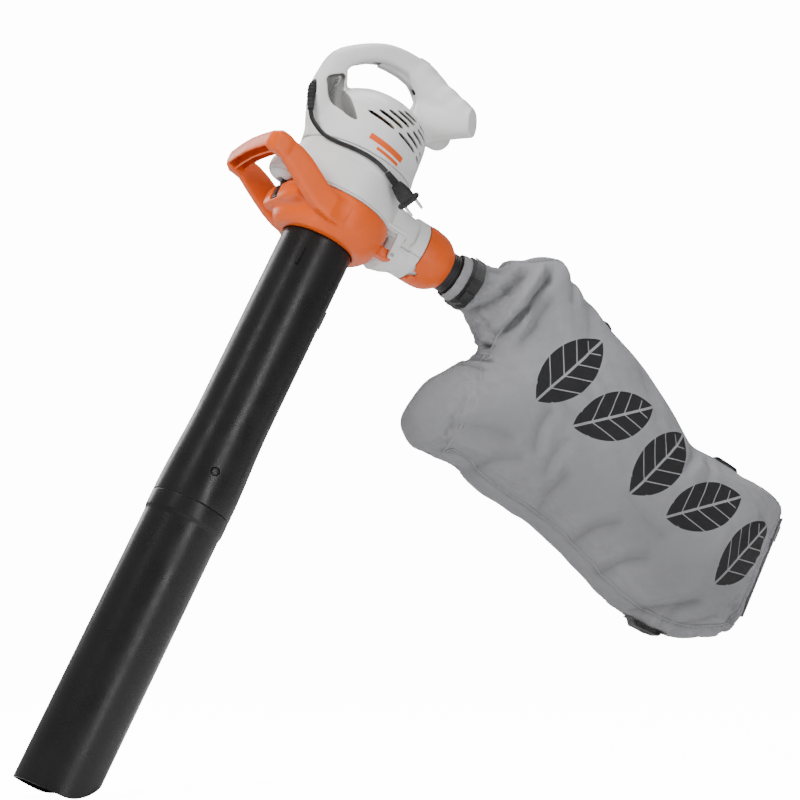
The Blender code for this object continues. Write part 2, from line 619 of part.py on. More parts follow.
def holes(side, label):
    """Screw holes and the seat of the trigger pin."""
    if side < 0:
        made = screw_holes("cut_pilot", 5, -13, 1.9, 8)
    else:
        made = screw_holes("cut_screw", -5, 40, 2.2, 8)
        made += screw_holes("cut_screw_head", 12, 45, 4.4, 12)
    y_low, y_high = sorted((0, side * PIN_SEAT_DEPTH))
    made.append(rod("cut_pin_seat_" + label, (TRIGGER_X, y_low, TRIGGER_Z),
                    (TRIGGER_X, y_high, TRIGGER_Z), 1.9, 16, **TOOL))
    return made


def build_motor_housing():
    """Dome, handle and arms, hollowed and split at y = 0."""
    handle_outside = loft("handle_outside", handle_rings(), 14, **TOOL)
    # the lift leaves a floor under the rear leg
    handle_inside = loft("cut_handle_inside", handle_rings(SHELL, lift=3.2), 8, **TOOL)
    dome_inside = lathe("cut_dome_inside", DOME_IN, 24, closed=False, **TOOL)
    pocket_wall = pocket_sheet("pocket_wall", grow=3.0, lift=3.0)
    pocket = pocket_sheet("cut_pocket", grow=0.0, lift=0.0)
    cut(handle_inside, pocket_wall)
    cut(dome_inside, pocket_wall)
    trigger_slot = box("cut_trigger_slot", (-46, -7.4, 245), (36, 7.4, 276), **TOOL)
    button_slot = box("cut_button_slot", (16.5, -6.4, 296), (37.5, 6.4, 316), **TOOL)
    boot_seat = loft("cut_boot_seat", swept_rings(BOOT, grow=0.4, overrun=(0.6, 1.0)), 14, **TOOL)

    for side, label in SIDES:
        half = lathe("motor_housing_" + label, DOME_OUT, 32, closed=False, mat=WHITE,
                     rot=(0, 0, math.radians(5.625)))
        arm = loft("arm_outside_" + label, arm_rings(side, ARM_OUT), 14, **TOOL)
        arm_inside = loft("cut_arm_inside_" + label, arm_rings(side, ARM_IN, SHELL), 8, **TOOL)
        other_half = box("cut_other_half_" + label, (-220, side * GAP / 2, 60),
                         (220, -side * 200, 360), **TOOL)
        join(half, handle_outside, arm)
        cut(half, dome_inside, handle_inside, arm_inside)
        cut(half, other_half, solver='MANIFOLD')
        if side < 0:
            cut(half, pocket, solver='MANIFOLD')
        join(half, *supports(side, label), solver='MANIFOLD')
        cut(half, slots(side, label), trigger_slot, button_slot, boot_seat,
            *holes(side, label), solver='MANIFOLD')


def build_housing_screws():
    for number, (x, z) in enumerate(SCREWS, 1):
        def turned_part(name, y_start, y_end, radius, segments, **placing):
            return rod("%s_%d" % (name, number), (0, y_start, 0), (0, y_end, 0), radius,
                       segments, loc=(x, 0, z), **placing)

        screw = turned_part("housing_screw", -10, 11.7, 1.6, 8, mat=STEEL)
        head = turned_part("screw_head", 12.3, 15.2, 3.9, 12, **TOOL)
        neck = turned_part("screw_neck", 11, 13, 1.7, 8, **TOOL)
        star = turned_part("cut_screw_star", 13.8, 17, 1.7, 6, **TOOL)
        join(screw, neck, head)
        cut(screw, star)


# ---------------------------------------------------------------- shaft, fans and shredder
SHAFT_R = 4.0
BORE = SHAFT_R + GAP             # bore of everything that sits on the shaft
VANES = 8
VANE_R0, VANE_R1 = 13, 74.5      # inner and outer end of an impeller vane
VANE_HALF = 1.1                  # half thickness
VANE_SWEEP = math.radians(26)
SHREDDER_Z = 43

SHAFT = [(0, 212), (3.4, 212), (SHAFT_R, 211), (SHAFT_R, 35), (3.4, 33), (0, 33)]
IMPELLER = [                     # (radius, z)
    (14, 66), (14, 84), (24, 87.5), (76, 88.2), (76, 90.4), (16, 90.4), (12, 92.5),
    (BORE, 92.5), (BORE, 50), (12, 50), (12, 64)]
SHREDDER_ARM = [(6, -8), (38, -9), (46, -5.5), (46, 2), (38, 7), (6, 8)]     # (x, y)
COOLING_FAN = [                  # (radius, z)
    (BORE, 110), (BORE, 121), (13, 121), (13, 112), (54, 112), (54, 110), (13, 110)]


def bore_cutter(name, z_low, z_high, radius=BORE, segments=24):
    return rod(name, (0, 0, z_low), (0, 0, z_high), radius, segments, **TOOL)


def build_shaft():
    lathe("motor_shaft", SHAFT, 16, closed=False, mat=STEEL)


def vane(k):
    """Impeller vane, swept back as the radius grows."""
    one_side, other_side = [], []
    for j in range(3):
        radius = VANE_R0 + (VANE_R1 - VANE_R0) * j / 2
        angle = 2 * math.pi * k / VANES + VANE_SWEEP * (j / 2) ** 1.2
        x, y = radius * math.cos(angle), radius * math.sin(angle)
        dx, dy = VANE_HALF * math.sin(angle), VANE_HALF * math.cos(angle)
        one_side.append((x - dx, y + dy))
        other_side.append((x + dx, y - dy))
    return plate("vane_%d" % (k + 1), one_side + other_side[::-1], 17.0, rot=FLAT,
                 loc=(0, 0, 71.6), **TOOL)


def build_impeller():
    join(lathe("impeller", IMPELLER, 24, mat=DARK), *[vane(k) for k in range(VANES)])


def build_shredder():
    """Four-armed blade with its nut below and its spacer above."""
    blade = lathe("shredder_blade", [(12, 41), (12, 45), (BORE, 45), (BORE, 41)], 16, mat=STEEL)
    arms = [plate("shredder_arm_%d" % k, SHREDDER_ARM, 1.5, loc=(0, 0, SHREDDER_Z),
                  rot=(0, 0, k * math.pi / 2 + 0.2), **TOOL) for k in range(4)]
    join(blade, *arms)
    cut(blade, bore_cutter("cut_shredder_bore", 35, 50))
    nut = rod("blade_nut", (0, 0, 35.2), (0, 0, 40.7), 7.2, 6, mat=STEEL)
    cut(nut, bore_cutter("cut_nut_bore", 30, 50))
    lathe("shredder_spacer", [(8, 49.7), (8, 45.3), (BORE, 45.3), (BORE, 49.7)], 16, mat=STEEL)


def build_cooling_fan():
    fan = lathe("cooling_fan", COOLING_FAN, 24, mat=DARK)
    join(fan, *[box("fan_blade_%d" % k, (12, -1, 111.5), (52, 1, 120.5),
                    rot=(0, 0, k * math.pi / 4), **TOOL) for k in range(8)])
    cut(fan, bore_cutter("cut_fan_bore", 100, 130))


# ---------------------------------------------------------------- motor
CORE_Z0, CORE_Z1 = 130, 168      # armature core and field stack
COIL_Z0, COIL_Z1 = 123.5, 174.5  # field coils, with their end turns
COIL_END = 6.1                   # height of the end turns
BRUSH_Z = 188
SPRING_R = 2.0
SPRING_TURNS, SPRING_STEPS = 5, 7        # turns, and points per turn
SPRING_START, SPRING_LENGTH = 33.8, 12   # along x from the shaft

FIELD_STACK = [                  # (x, y)
    (-44, -24), (-36, -38), (-20, -46), (20, -46), (36, -38), (44, -24),
    (44, 24), (36, 38), (20, 46), (-20, 46), (-36, 38), (-44, 24)]
WINDING_LOWER = [                # (radius, z)
    (15, 129.6), (20, 127.5), (20, 125), (15, 122.5), (BORE, 122.5), (BORE, 129.6)]
WINDING_UPPER = [                # (radius, z)
    (15, 177), (20, 174.5), (20, 171), (16, 168.4), (BORE, 168.4), (BORE, 177)]
COMMUTATOR = [                   # (radius, z)
    (12, 194), (12, 182), (13.5, 181), (13.5, 178.5), (BORE, 178.5), (BORE, 194)]


def build_armature():
    core = lathe("armature_core", [(24, CORE_Z1), (24, CORE_Z0), (BORE, CORE_Z0), (BORE, CORE_Z1)],
                 24, mat=LAMINATION)
    cut(core, *[box("cut_armature_slot_%d" % k, (20, -1.3, 125), (30, 1.3, 172),
                    rot=(0, 0, k * math.pi / 6), **TOOL) for k in range(12)])
    lathe("winding_head_lower", WINDING_LOWER, 16, mat=COPPER)
    lathe("winding_head_upper", WINDING_UPPER, 16, mat=COPPER)
    lathe("commutator", COMMUTATOR, 16, mat=COPPER)


def build_field_stack():
    stack = plate("field_stack", FIELD_STACK, (CORE_Z1 - CORE_Z0) / 2, rot=FLAT, mat=LAMINATION,
                  loc=(0, 0, (CORE_Z0 + CORE_Z1) / 2))
    bore = bore_cutter("cut_field_bore", 120, 180, 25.2)
    windows = [box("cut_field_window_%d" % k, (-37, y, 120), (37, y + 11, 180), **TOOL)
               for k, y in enumerate((-21, 10))]
    cut(stack, bore, *windows)


def build_field_coil(side, label):
    coil = box("field_coil_" + label, (-34, side * 12, COIL_Z0), (34, side * 19.5, COIL_Z1),
               mat=COPPER)
    ends = [box("coil_end_%s_%d" % (label, k), (-34, side * 12, z),
                (34, side * 33, z + COIL_END), **TOOL)
            for k, z in enumerate((COIL_Z0, 168.4))]
    join(coil, *ends)
    cut(coil, bore_cutter("cut_coil_bore_" + label, 110, 190, 26.2, 20))


def build_bearings():
    lathe("bearing_lower", [(11.0, 105), (11.0, 98), (BORE, 98), (BORE, 105)], 20, mat=STEEL)
    lathe("bearing_upper", [(8.0, 207), (8.0, 201.2), (BORE, 201.2), (BORE, 207)], 20, mat=STEEL)
    bridge = box("bearing_bridge", (-60, -11, 198), (60, 11, 209.3), mat=DARK)
    cut(bridge, bore_cutter("cut_bridge_seat", 190, 207.3, 8.3, 20),
        bore_cutter("cut_bridge_bore", 190, 220, 5.0, 16))


def build_brush(end, label):
    """Carbon brush, its holder and its spring, on the x axis side given by end."""
    box("carbon_brush_" + label, (end * 13.9, -3, 184), (end * 33, 3, 192), mat=CARBON)
    holder = box("brush_holder_" + label, (end * 19, -4.6, 182.2), (end * 48, 4.6, 197.6),
                 mat=BRASS)
    cut(holder, box("cut_brush_way_" + label, (end * 17, -3.3, 183.7), (end * 50, 3.3, 192.3),
                    **TOOL))
    count = SPRING_TURNS * SPRING_STEPS
    points = []
    for k in range(count + 1):
        angle = 2 * math.pi * k / SPRING_STEPS
        points.append((end * (SPRING_START + SPRING_LENGTH * k / count),
                       SPRING_R * math.cos(angle), BRUSH_Z + SPRING_R * math.sin(angle)))
    wire("brush_spring_" + label, points, 0.45, STEEL, rounded=False, bevel_resolution=0,
         resolution=4)


# ---------------------------------------------------------------- switch gear
TRIGGER = [                      # (x, z) from the trigger pivot
    (5, 3), (2, 6), (-14, 8.5), (-34, 9), (-58, 8.5), (-63, 4), (-66, -5.5), (-50, -3),
    (-30, -2.2), (-14, -4), (-2, -6.5), (5, -5)]
TRIGGER_EDGE = 1.2               # rounding of the trigger


def build_switch_gear():
    box("switch_block", (-30, -6.5, 281), (-6, 6.5, 292), mat=DARK)
    trigger = plate("trigger", TRIGGER, 6.8, bevel=TRIGGER_EDGE, offset=-TRIGGER_EDGE,
                    mat=WHITE, parent=trigger_frame)
    cut(trigger, rod("cut_trigger_hole", (0, -20, 0), (0, 20, 0), 1.9, 16,
                     parent=trigger_frame, **TOOL))
    rod("trigger_pin", (0, -12, 0), (0, 12, 0), 1.6, 16, mat=STEEL,
        loc=(TRIGGER_X, 0, TRIGGER_Z))
    button = box("lock_button", (-10, -6, -10), (10, 6, 4.4), mat=WHITE, loc=(27, 0, 305.0))
    soften(button, 2.2, 3)


# ---------------------------------------------------------------- power cable
CABLE_R = 3.4
BOOT_END = Vector(BOOT[-1][:3])
BOOT_DIR = Vector((4.5, -4.0, -12.5)).normalized()
CABLE = [                        # (radius, degrees from -x towards -y, z)
    (104.5, 15.5, 119), (99.8, 24, 107), (96.6, 31, 100), (94.9, 38, 96), (94.4, 50, 92.5),
    (94.2, 64, 92), (94.4, 79.5, 91), (95.2, 91, 88.5), (96.8, 100.5, 84.5)]
PLUG_START = (97.2, 101.6, 84.0)         # same columns as CABLE
PLUG_DIR = Vector((0.93, 0.10, -0.33)).normalized()
PLUG_SIDE = PLUG_DIR.cross(Vector((-0.337, -0.903, -0.267))).normalized()
PLUG_UP = PLUG_SIDE.cross(PLUG_DIR).normalized()
PLUG = [                         # (distance along the plug, half width, half height)
    (0, 4.4, 4.4), (21, 6.2, 6.2), (23, 8.5, 7.5), (44, 12.5, 9.5), (49.5, 12, 10),
    (52, 18.5, 14.5), (55.5, 18.5, 14.5), (56.5, 17.0, 13.0)]
HOOK = [(-92, -22.8, 196), (-92, -30, 198), (-91, -34.5, 193), (-90, -33, 186), (-91, -29, 183)]


def around(radius, degrees, z):
    """Point turned about the fan axis from -x towards -y."""
    angle = math.radians(degrees)
    return (-radius * math.cos(angle), -radius * math.sin(angle), z)


def build_cable():
    boot = loft("cable_boot", swept_rings(BOOT), 14, mat=RUBBER)
    cut(boot, rod("cut_boot_bore", BOOT_END - BOOT_DIR * 7, BOOT_END + BOOT_DIR * 4,
                  CABLE_R + GAP, 16, **TOOL))
    points = [BOOT_END - BOOT_DIR * 6.5, BOOT_END + BOOT_DIR * 3]
    wire("power_cable", points + [around(*row) for row in CABLE], CABLE_R, RUBBER)


def build_plug():
    start = Vector(around(*PLUG_START))
    loft("plug_body", [(start + PLUG_DIR * along, PLUG_SIDE * half_width, PLUG_UP * half_height, 2.2)
                       for along, half_width, half_height in PLUG], 16, mat=RUBBER)
    for side, letter in ((-1, "a"), (1, "b")):
        base = start + PLUG_DIR * 56.8 + PLUG_SIDE * (side * 9.5)
        rod("plug_pin_" + letter, base, base + PLUG_DIR * 19, 2.4, 16, mat=STEEL)


def build_cord_hook():
    wire("cord_hook", HOOK, 2.0, WHITE)


# ---------------------------------------------------------------- outlet and bag
BAG_END = 930.0
BAG_HALF = 78.0                  # half thickness of the filled bag
BAG_EDGE = 22.0                  # rounding of the bag's edges
BAG_WALL = 3.5
PULL_AT = (BAG_END + 8.6, OUT_Y, -24.0)  # zip pull

COUPLING = [                     # (radius, distance along the outlet)
    (32.8, 212.5), (35.0, 209.5), (39.5, 204), (44.2, 196), (46.8, 187), (48.0, 177),
    (48.2, 157), (44.6, 157), (44.6, 178), (43.5, 188), (41.8, 193.5), (37, 199.5),
    (32.2, 202.5), (32.2, 212.5)]
SEAL = [(39.5, 188.6), (39.5, 186.4), (34, 186.4), (34, 188.6)]
ADAPTER = [(31.6, 262), (31.6, 201), (31.6, 194.5), (40.5, 192.5), (40.5, 189), (29.2, 189),
           (29.2, 262)]
NECK_STRAP = [(38.0, 264.5), (38.0, 243.5), (36.0, 243.5), (36.0, 264.5)]
BAG = [                          # (x, z)
    (304, 117), (330, 135), (346, 146), (360, 156), (376, 160), (392, 156), (408, 146),
    (464, 128), (488, 120), (559, 98), (617, 74), (662, 52), (700, 30), (718, 24), (738, 25),
    (769, 24), (826, 20), (871, 18), (915, 10), (BAG_END, -4), (BAG_END, -196), (918, -216),
    (892, -236), (863, -257), (819, -277), (751, -285), (711, -285), (673, -278),
    (634, -267), (604, -259), (573, -251), (535, -242), (503, -239), (456, -236), (400, -230),
    (368, -222), (323, -220), (292, -215), (268, -203), (258, -188), (257, -168), (262, -135),
    (282, -92), (318, -46), (322, -24)]
NECK_OUT = [                     # (x, y, z, half y, half z, exponent)
    (229, OUT_Y, OUT_Z, 35.2, 35.2, 2.0), (265, OUT_Y, OUT_Z, 35.6, 35.6, 2.0),
    (280, OUT_Y, OUT_Z - 1, 38, 40, 2.0), (300, OUT_Y, OUT_Z, 46, 50, 2.2),
    (330, OUT_Y, 50, 58, 70, 2.4), (352, OUT_Y, 44, 62, 84, 2.6)]
NECK_IN = [
    (219, OUT_Y, OUT_Z, 32.2, 32.2, 2.0), (265, OUT_Y, OUT_Z, 32.2, 32.2, 2.0),
    (280, OUT_Y, OUT_Z - 1, 34.5, 36.5, 2.0), (300, OUT_Y, OUT_Z, 42.5, 46.5, 2.2),
    (330, OUT_Y, 50, 54, 66, 2.4), (356, OUT_Y, 44, 58, 79, 2.6)]
STRAP_LOOPS = [                  # (name, x and z of both feet, rise, half width)
    ("carry_loop_front", 490, 121.0, 512, 114.5, 7.5, 11),
    ("carry_loop_rear", 772, 25.6, 822, 22.4, 10, 11),
    ("bag_end_tab", 752, -286.8, 806, -282.5, -9, 12)]


def build_outlet():
    coupling = lathe("outlet_coupling", COUPLING, 28, mat=ORANGE, parent=outlet_frame)
    cut(coupling, box("cut_coupling_notch", (30, -30, 150), (60, -13, 167),
                      parent=outlet_frame, **TOOL))
    lathe("outlet_seal", SEAL, 24, mat=RUBBER, parent=outlet_frame)
    lathe("bag_adapter", ADAPTER, 28, mat=DARK, parent=outlet_frame)


def build_bag():
    """Hollow bag, open at its neck."""
    bag = plate("collecting_bag", BAG, BAG_HALF, bevel=BAG_EDGE, offset=-BAG_EDGE, mat=FABRIC,
                loc=(0, OUT_Y, 0))
    neck = loft("bag_neck", rings_along_x(NECK_OUT), 18, **TOOL)
    neck_inside = loft("cut_bag_neck", rings_along_x(NECK_IN), 18, **TOOL)
    inside = plate("cut_bag_inside", BAG, BAG_HALF - BAG_WALL, bevel=BAG_EDGE - BAG_WALL,
                   offset=-BAG_EDGE, loc=(0, OUT_Y, 0), **TOOL)
    join(bag, neck)
    cut(bag, neck_inside, inside)


def build_neck_strap():
    lathe("neck_strap", NECK_STRAP, 28, mat=WEBBING, parent=outlet_frame)
    loft("strap_buckle", [((x, OUT_Y - 30.5, OUT_Z - 30.5), (0, 9.5, -9.5), (0, 2.4, 2.4), 4.0)
                          for x in (247, 261)], 16, mat=DARK)


def build_zip():
    box("zip_tape", (BAG_END + GAP, OUT_Y - 13, -192), (BAG_END + 2.0, OUT_Y + 13, -12), mat=DARK)
    slider = box("zip_slider", (BAG_END + 2.3, OUT_Y - 5.5, -32), (BAG_END + 7.0, OUT_Y + 5.5, -19),
                 mat=STEEL)
    soften(slider, 1.0, 1)
    pull = box("zip_pull", (-1.1, -3.8, -27), (1.1, 3.8, 1.0), mat=DARK, loc=PULL_AT)
    cut(pull, box("cut_pull_eye", (-3, -1.6, -3), (3, 1.6, 0.0), loc=PULL_AT, **TOOL))


def build_strap_loop(name, x_a, z_a, x_b, z_b, rise, half_width):
    """Flat webbing loop on the bag's edge; a negative rise hangs it below."""
    foot_a, foot_b = Vector((x_a, 0, z_a)), Vector((x_b, 0, z_b))
    along = (foot_b - foot_a).normalized()
    out = Vector((-along.z, 0, along.x)) * rise
    outer = [foot_a, foot_a + out * 0.7 + along * 2, foot_a + out + along * 7,
             foot_b + out - along * 7, foot_b + out * 0.7 - along * 2, foot_b]
    target = (foot_a + foot_b) / 2 + out * 0.3
    inner = [point + (target - point).normalized() * 2.2 for point in outer]
    plate(name, [(point.x, point.z) for point in outer + inner[::-1]], half_width,
          mat=WEBBING, loc=(0, OUT_Y, 0))


# ---------------------------------------------------------------- build
build_upper_tube()
build_lower_tube()
build_snap_button()
build_intake_ring()
build_tube_latch()
build_hinge_pin()
build_fan_housing()
build_motor_housing()
build_housing_screws()
build_shaft()
build_impeller()
build_shredder()
build_cooling_fan()
build_armature()
build_field_stack()
for side_sign, side_name in SIDES:
    build_field_coil(side_sign, side_name)
build_bearings()
build_brush(-1, "left")
build_brush(1, "right")
build_switch_gear()
build_cable()
build_plug()
build_cord_hook()
build_outlet()
build_bag()
build_neck_strap()
build_zip()
for strap in STRAP_LOOPS:
    build_strap_loop(*strap)
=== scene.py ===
"""Looks for the leaf vacuum mulcher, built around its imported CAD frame.

Shapes are made in the machine frame (millimetres): z along the fan axis towards the motor,
x along the outlet towards the bag, y across, with the near side at negative y. Soft-edged
mouldings are distance fields turned into a mesh; turned pieces are lathed; slots are cut
with booleans.
"""
import json
import math

import bmesh
import bpy
import numpy as np
from mathutils import Matrix, Vector
from mathutils.bvhtree import BVHTree
from mathutils.kdtree import KDTree


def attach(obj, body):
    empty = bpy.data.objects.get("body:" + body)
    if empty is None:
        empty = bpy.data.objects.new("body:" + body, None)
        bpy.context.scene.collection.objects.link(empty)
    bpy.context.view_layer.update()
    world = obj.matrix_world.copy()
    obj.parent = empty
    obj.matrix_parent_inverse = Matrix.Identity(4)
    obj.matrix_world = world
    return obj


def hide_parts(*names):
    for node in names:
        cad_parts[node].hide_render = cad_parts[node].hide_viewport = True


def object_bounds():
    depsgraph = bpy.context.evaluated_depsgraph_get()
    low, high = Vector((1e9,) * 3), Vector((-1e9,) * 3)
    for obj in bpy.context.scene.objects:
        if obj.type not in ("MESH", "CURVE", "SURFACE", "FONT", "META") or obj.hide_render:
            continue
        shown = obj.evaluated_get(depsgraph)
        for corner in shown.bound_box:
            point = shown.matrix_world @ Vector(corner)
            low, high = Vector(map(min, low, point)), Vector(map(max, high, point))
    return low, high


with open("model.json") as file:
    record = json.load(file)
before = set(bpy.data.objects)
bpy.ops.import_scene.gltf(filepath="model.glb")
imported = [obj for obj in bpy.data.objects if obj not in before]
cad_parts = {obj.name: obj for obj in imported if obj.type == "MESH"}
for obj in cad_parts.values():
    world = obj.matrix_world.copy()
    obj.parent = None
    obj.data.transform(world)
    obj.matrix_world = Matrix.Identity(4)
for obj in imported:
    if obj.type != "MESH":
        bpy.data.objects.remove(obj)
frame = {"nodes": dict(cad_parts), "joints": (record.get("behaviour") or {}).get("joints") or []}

CAD_BOX = [list(v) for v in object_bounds()]

# ------------------------------------------------------------------ machine frame
FAN_JOINT_HEIGHT = 0.120      # metres from the machine origin up to the fan joint
OUTLET_Y, OUTLET_Z = 40.0, 49.0
SIDES = ((-1, "near"), (1, "far"))

fan_joint = next(j for j in frame["joints"] if j["name"] == "fan_spin")
Z_AXIS = Vector(fan_joint["axis"]).normalized()
Y_AXIS = Vector((0, 1, 0))
X_AXIS = Y_AXIS.cross(Z_AXIS).normalized()
ORIGIN = Vector(fan_joint["pos_m"]) - Z_AXIS * FAN_JOINT_HEIGHT
ROTATION = np.column_stack([X_AXIS, Y_AXIS, Z_AXIS])
OFFSET = np.array(ORIGIN)


def to_world(points):
    """Machine millimetres to world metres."""
    return (np.asarray(points, float) * 0.001) @ ROTATION.T + OFFSET


def to_machine(points):
    """World metres to machine millimetres."""
    return (np.asarray(points, float) - OFFSET) @ ROTATION * 1000


def world_point(x, y, z):
    return Vector(to_world([(x, y, z)])[0])


def link(name, data):
    ob = bpy.data.objects.new(name, data)
    bpy.context.scene.collection.objects.link(ob)
    return ob


# ------------------------------------------------------------------ node materials
class Value:
    """A shader socket; arithmetic and comparisons on it add Math nodes."""

    def __init__(self, mat, socket):
        self.mat, self.socket = mat, socket

    def op(self, kind, other=0.0):
        node = self.mat.node("Math")
        node.operation = kind
        for i, v in enumerate((self, other, 0.0)):
            self.mat.put(node, i, v)
        return Value(self.mat, node.outputs[0])

    def __add__(self, other):
        return self.op('ADD', other)

    def __sub__(self, other):
        return self.op('SUBTRACT', other)

    def __mul__(self, other):
        return self.op('MULTIPLY', other)

    def __lt__(self, other):
        return self.op('LESS_THAN', other)

    def __gt__(self, other):
        return self.op('GREATER_THAN', other)

    def __abs__(self):
        return self.op('ABSOLUTE')

    def max(self, other):
        return self.op('MAXIMUM', other)

    def wave(self, frequency):
        return (self * frequency).op('SINE')


class Mat:
    """A Principled material with small helpers for its node graph."""

    def __init__(self, name, rgb, rough, metal=0.0, spec=0.5):
        self.material = bpy.data.materials.new(name)
        self.material.use_nodes = True
        self.tree = self.material.node_tree
        self.bsdf = self.tree.nodes["Principled BSDF"]
        self.put(self.bsdf, "Base Color", (*rgb, 1))
        self.put(self.bsdf, "Roughness", rough)
        self.put(self.bsdf, "Metallic", metal)
        self.put(self.bsdf, "Specular IOR Level", spec)
        self.material.diffuse_color = (*rgb, 1)
        self.coord = Value(self, self.node("TexCoord").outputs["Object"])
        self.normal = None

    def node(self, kind):
        return self.tree.nodes.new("ShaderNode" + kind)

    def put(self, node, key, v):
        if isinstance(v, Value):
            self.tree.links.new(v.socket, node.inputs[key])
        else:
            node.inputs[key].default_value = v

    def vector(self, kind, a, b, output):
        node = self.node("VectorMath")
        node.operation = kind
        self.put(node, 0, a)
        self.put(node, 1, b)
        return Value(self, node.outputs[output])

    def axes(self, which="xyz"):
        """The named machine-frame axes in millimetres."""
        p = self.vector('SUBTRACT', self.coord, tuple(ORIGIN), "Vector")
        units = {"x": X_AXIS, "y": Y_AXIS, "z": Z_AXIS}
        return [self.vector('DOT_PRODUCT', p, tuple(units[k]), "Value") * 1000.0 for k in which]

    def noise(self, scale, detail=3.0, rough=0.55, vector=None):
        node = self.node("TexNoise")
        self.put(node, "Scale", scale)
        self.put(node, "Detail", detail)
        self.put(node, "Roughness", rough)
        self.put(node, "Vector", vector or self.coord)
        return Value(self, node.outputs["Fac"])

    def ramp(self, v, between, to=(0.0, 1.0)):
        """Smooth step of v from one range to another."""
        node = self.node("MapRange")
        node.interpolation_type = 'SMOOTHSTEP'
        keys = ("Value", "From Min", "From Max", "To Min", "To Max")
        for key, x in zip(keys, (v, *between, *to)):
            self.put(node, key, x)
        return Value(self, node.outputs["Result"])

    def mix(self, factor, a, b):
        node = self.node("Mix")
        node.data_type = 'RGBA'
        self.put(node, "Factor", factor)
        for key, v in ((6, a), (7, b)):
            self.put(node, key, (*v, 1) if isinstance(v, tuple) else v)
        return Value(self, node.outputs[2])

    def color(self, v):
        self.base = v
        self.put(self.bsdf, "Base Color", v)

    def rough(self, v):
        self.put(self.bsdf, "Roughness", v)

    def bump(self, height, distance, strength=1.0):
        """Adds a bump on top of those already made."""
        node = self.node("Bump")
        self.put(node, "Strength", strength)
        self.put(node, "Distance", distance)
        self.put(node, "Height", height)
        if self.normal is not None:
            self.put(node, "Normal", self.normal)
        self.normal = Value(self, node.outputs["Normal"])
        self.put(self.bsdf, "Normal", self.normal)

    def edges(self):
        pointiness = Value(self, self.node("NewGeometry").outputs["Pointiness"])
        return self.ramp(pointiness, between=(0.53, 0.62))


def scaled(rgb, k):
    return tuple(min(1.0, c * k) for c in rgb)


def plastic(name, rgb, rough, grain=0.00006, wear=0.10, dirt=0.06, spec=0.5):
    """Moulded plastic: cloudy colour, paler worn edges and a fine grain."""
    m = Mat(name, rgb, rough, spec=spec)
    clouds = m.ramp(m.noise(scale=7.0, detail=4), between=(0.3, 0.75))
    col = m.mix(clouds, scaled(rgb, 1 - dirt), scaled(rgb, 1 + dirt * 0.5))
    patches = m.ramp(m.noise(scale=38.0, detail=5, rough=0.65), between=(0.58, 0.78), to=(0.0, 0.35))
    col = m.mix(patches, col, scaled(rgb, 1 - 2 * dirt))
    m.color(m.mix(m.edges() * wear, col, scaled(rgb, 1.6)))
    smears = m.noise(scale=24.0, detail=5, rough=0.6)
    m.rough(m.ramp(smears, between=(0.3, 0.7), to=(-0.05, 0.07)) + rough)
    m.bump(m.noise(scale=2600.0, detail=2, rough=0.5), distance=grain)
    m.bump(m.noise(scale=55.0, detail=2, rough=0.4), distance=grain * 3, strength=0.5)
    return m


ORANGE_RGB = (0.70, 0.094, 0.006)
# two convex outlines (x, z) that cover the hand recess, which gets painted shade
RECESS_SHADE_HULLS = (
    [(-106.5, 190), (-105, 196), (-99, 202), (-87, 211), (-81, 210), (-73.5, 180), (-80, 155),
     (-92, 165)],
    [(-73.5, 180.5), (-50.5, 140.5), (-53, 137.5), (-66, 142.5), (-82, 156)])
# printed bars: x and z of one end, x and z of the other, half width
MARK_BARS = ((-26, 124, 36, 117, 5.0), (-10, 110.5, 32, 106, 2.6))


def housing(name):
    """Light grey satin moulding with a plain two-bar orange mark and painted shade in the hand recess
    on the near side.
    """
    m = plastic(name, (0.66, 0.665, 0.66), rough=0.34, grain=0.00005)
    x, y, z = m.axes()

    def bar(x0, z0, x1, z1, half):
        length = math.hypot(x1 - x0, z1 - z0)
        ux, uz = (x1 - x0) / length, (z1 - z0) / length
        dx, dz = x - x0, z - z0
        along = dx * ux + dz * uz
        across = abs(dx * -uz - dz * -ux)
        return (across < half) * ((along > 0.0) * (along < length))

    # mask for the painted shade inside one outline of the hand recess
    def recess(hull):
        inside = y < -2.0
        for (x0, z0), (x1, z1) in zip(hull, hull[1:] + hull[:1]):
            inside = inside * ((z - z0) * (x1 - x0) - (x - x0) * (z1 - z0) < 0.0)
        return inside

    mark = bar(*MARK_BARS[0]).max(bar(*MARK_BARS[1])) * (y < -40.0)
    col = m.mix(mark, m.base, ORANGE_RGB)
    # painted shade: the hand recess is coloured a darker grey
    inside = recess(RECESS_SHADE_HULLS[0]).max(recess(RECESS_SHADE_HULLS[1]))
    m.color(m.mix(inside * 0.85, col, (0.12, 0.118, 0.115)))
    return m.material


def metal(name, rgb, rough, stretch=(1, 1, 1), lines=0.0):
    """Brushed metal; lines is the pitch of dark lines across z, in millimetres."""
    m = Mat(name, rgb, rough, metal=1.0)
    mapping = m.node("Mapping")
    m.put(mapping, "Scale", stretch)
    m.put(mapping, "Vector", m.coord)
    brushed = m.noise(scale=600.0, detail=4, rough=0.6, vector=Value(m, mapping.outputs[0]))
    m.color(m.mix(brushed, scaled(rgb, 0.85), scaled(rgb, 1.1)))
    m.rough(m.ramp(brushed, between=(0.2, 0.8), to=(rough - 0.06, rough + 0.12)))
    m.bump(brushed, distance=0.00004)
    if lines:
        z, = m.axes("z")
        wave = z.wave(2 * math.pi / lines)
        m.bump(wave, distance=0.0002, strength=0.7)
        dark = m.mix(0.5, m.base, (0, 0, 0))
        m.color(m.mix(m.ramp(wave, between=(-1, 1)), dark, m.base))
    return m.material


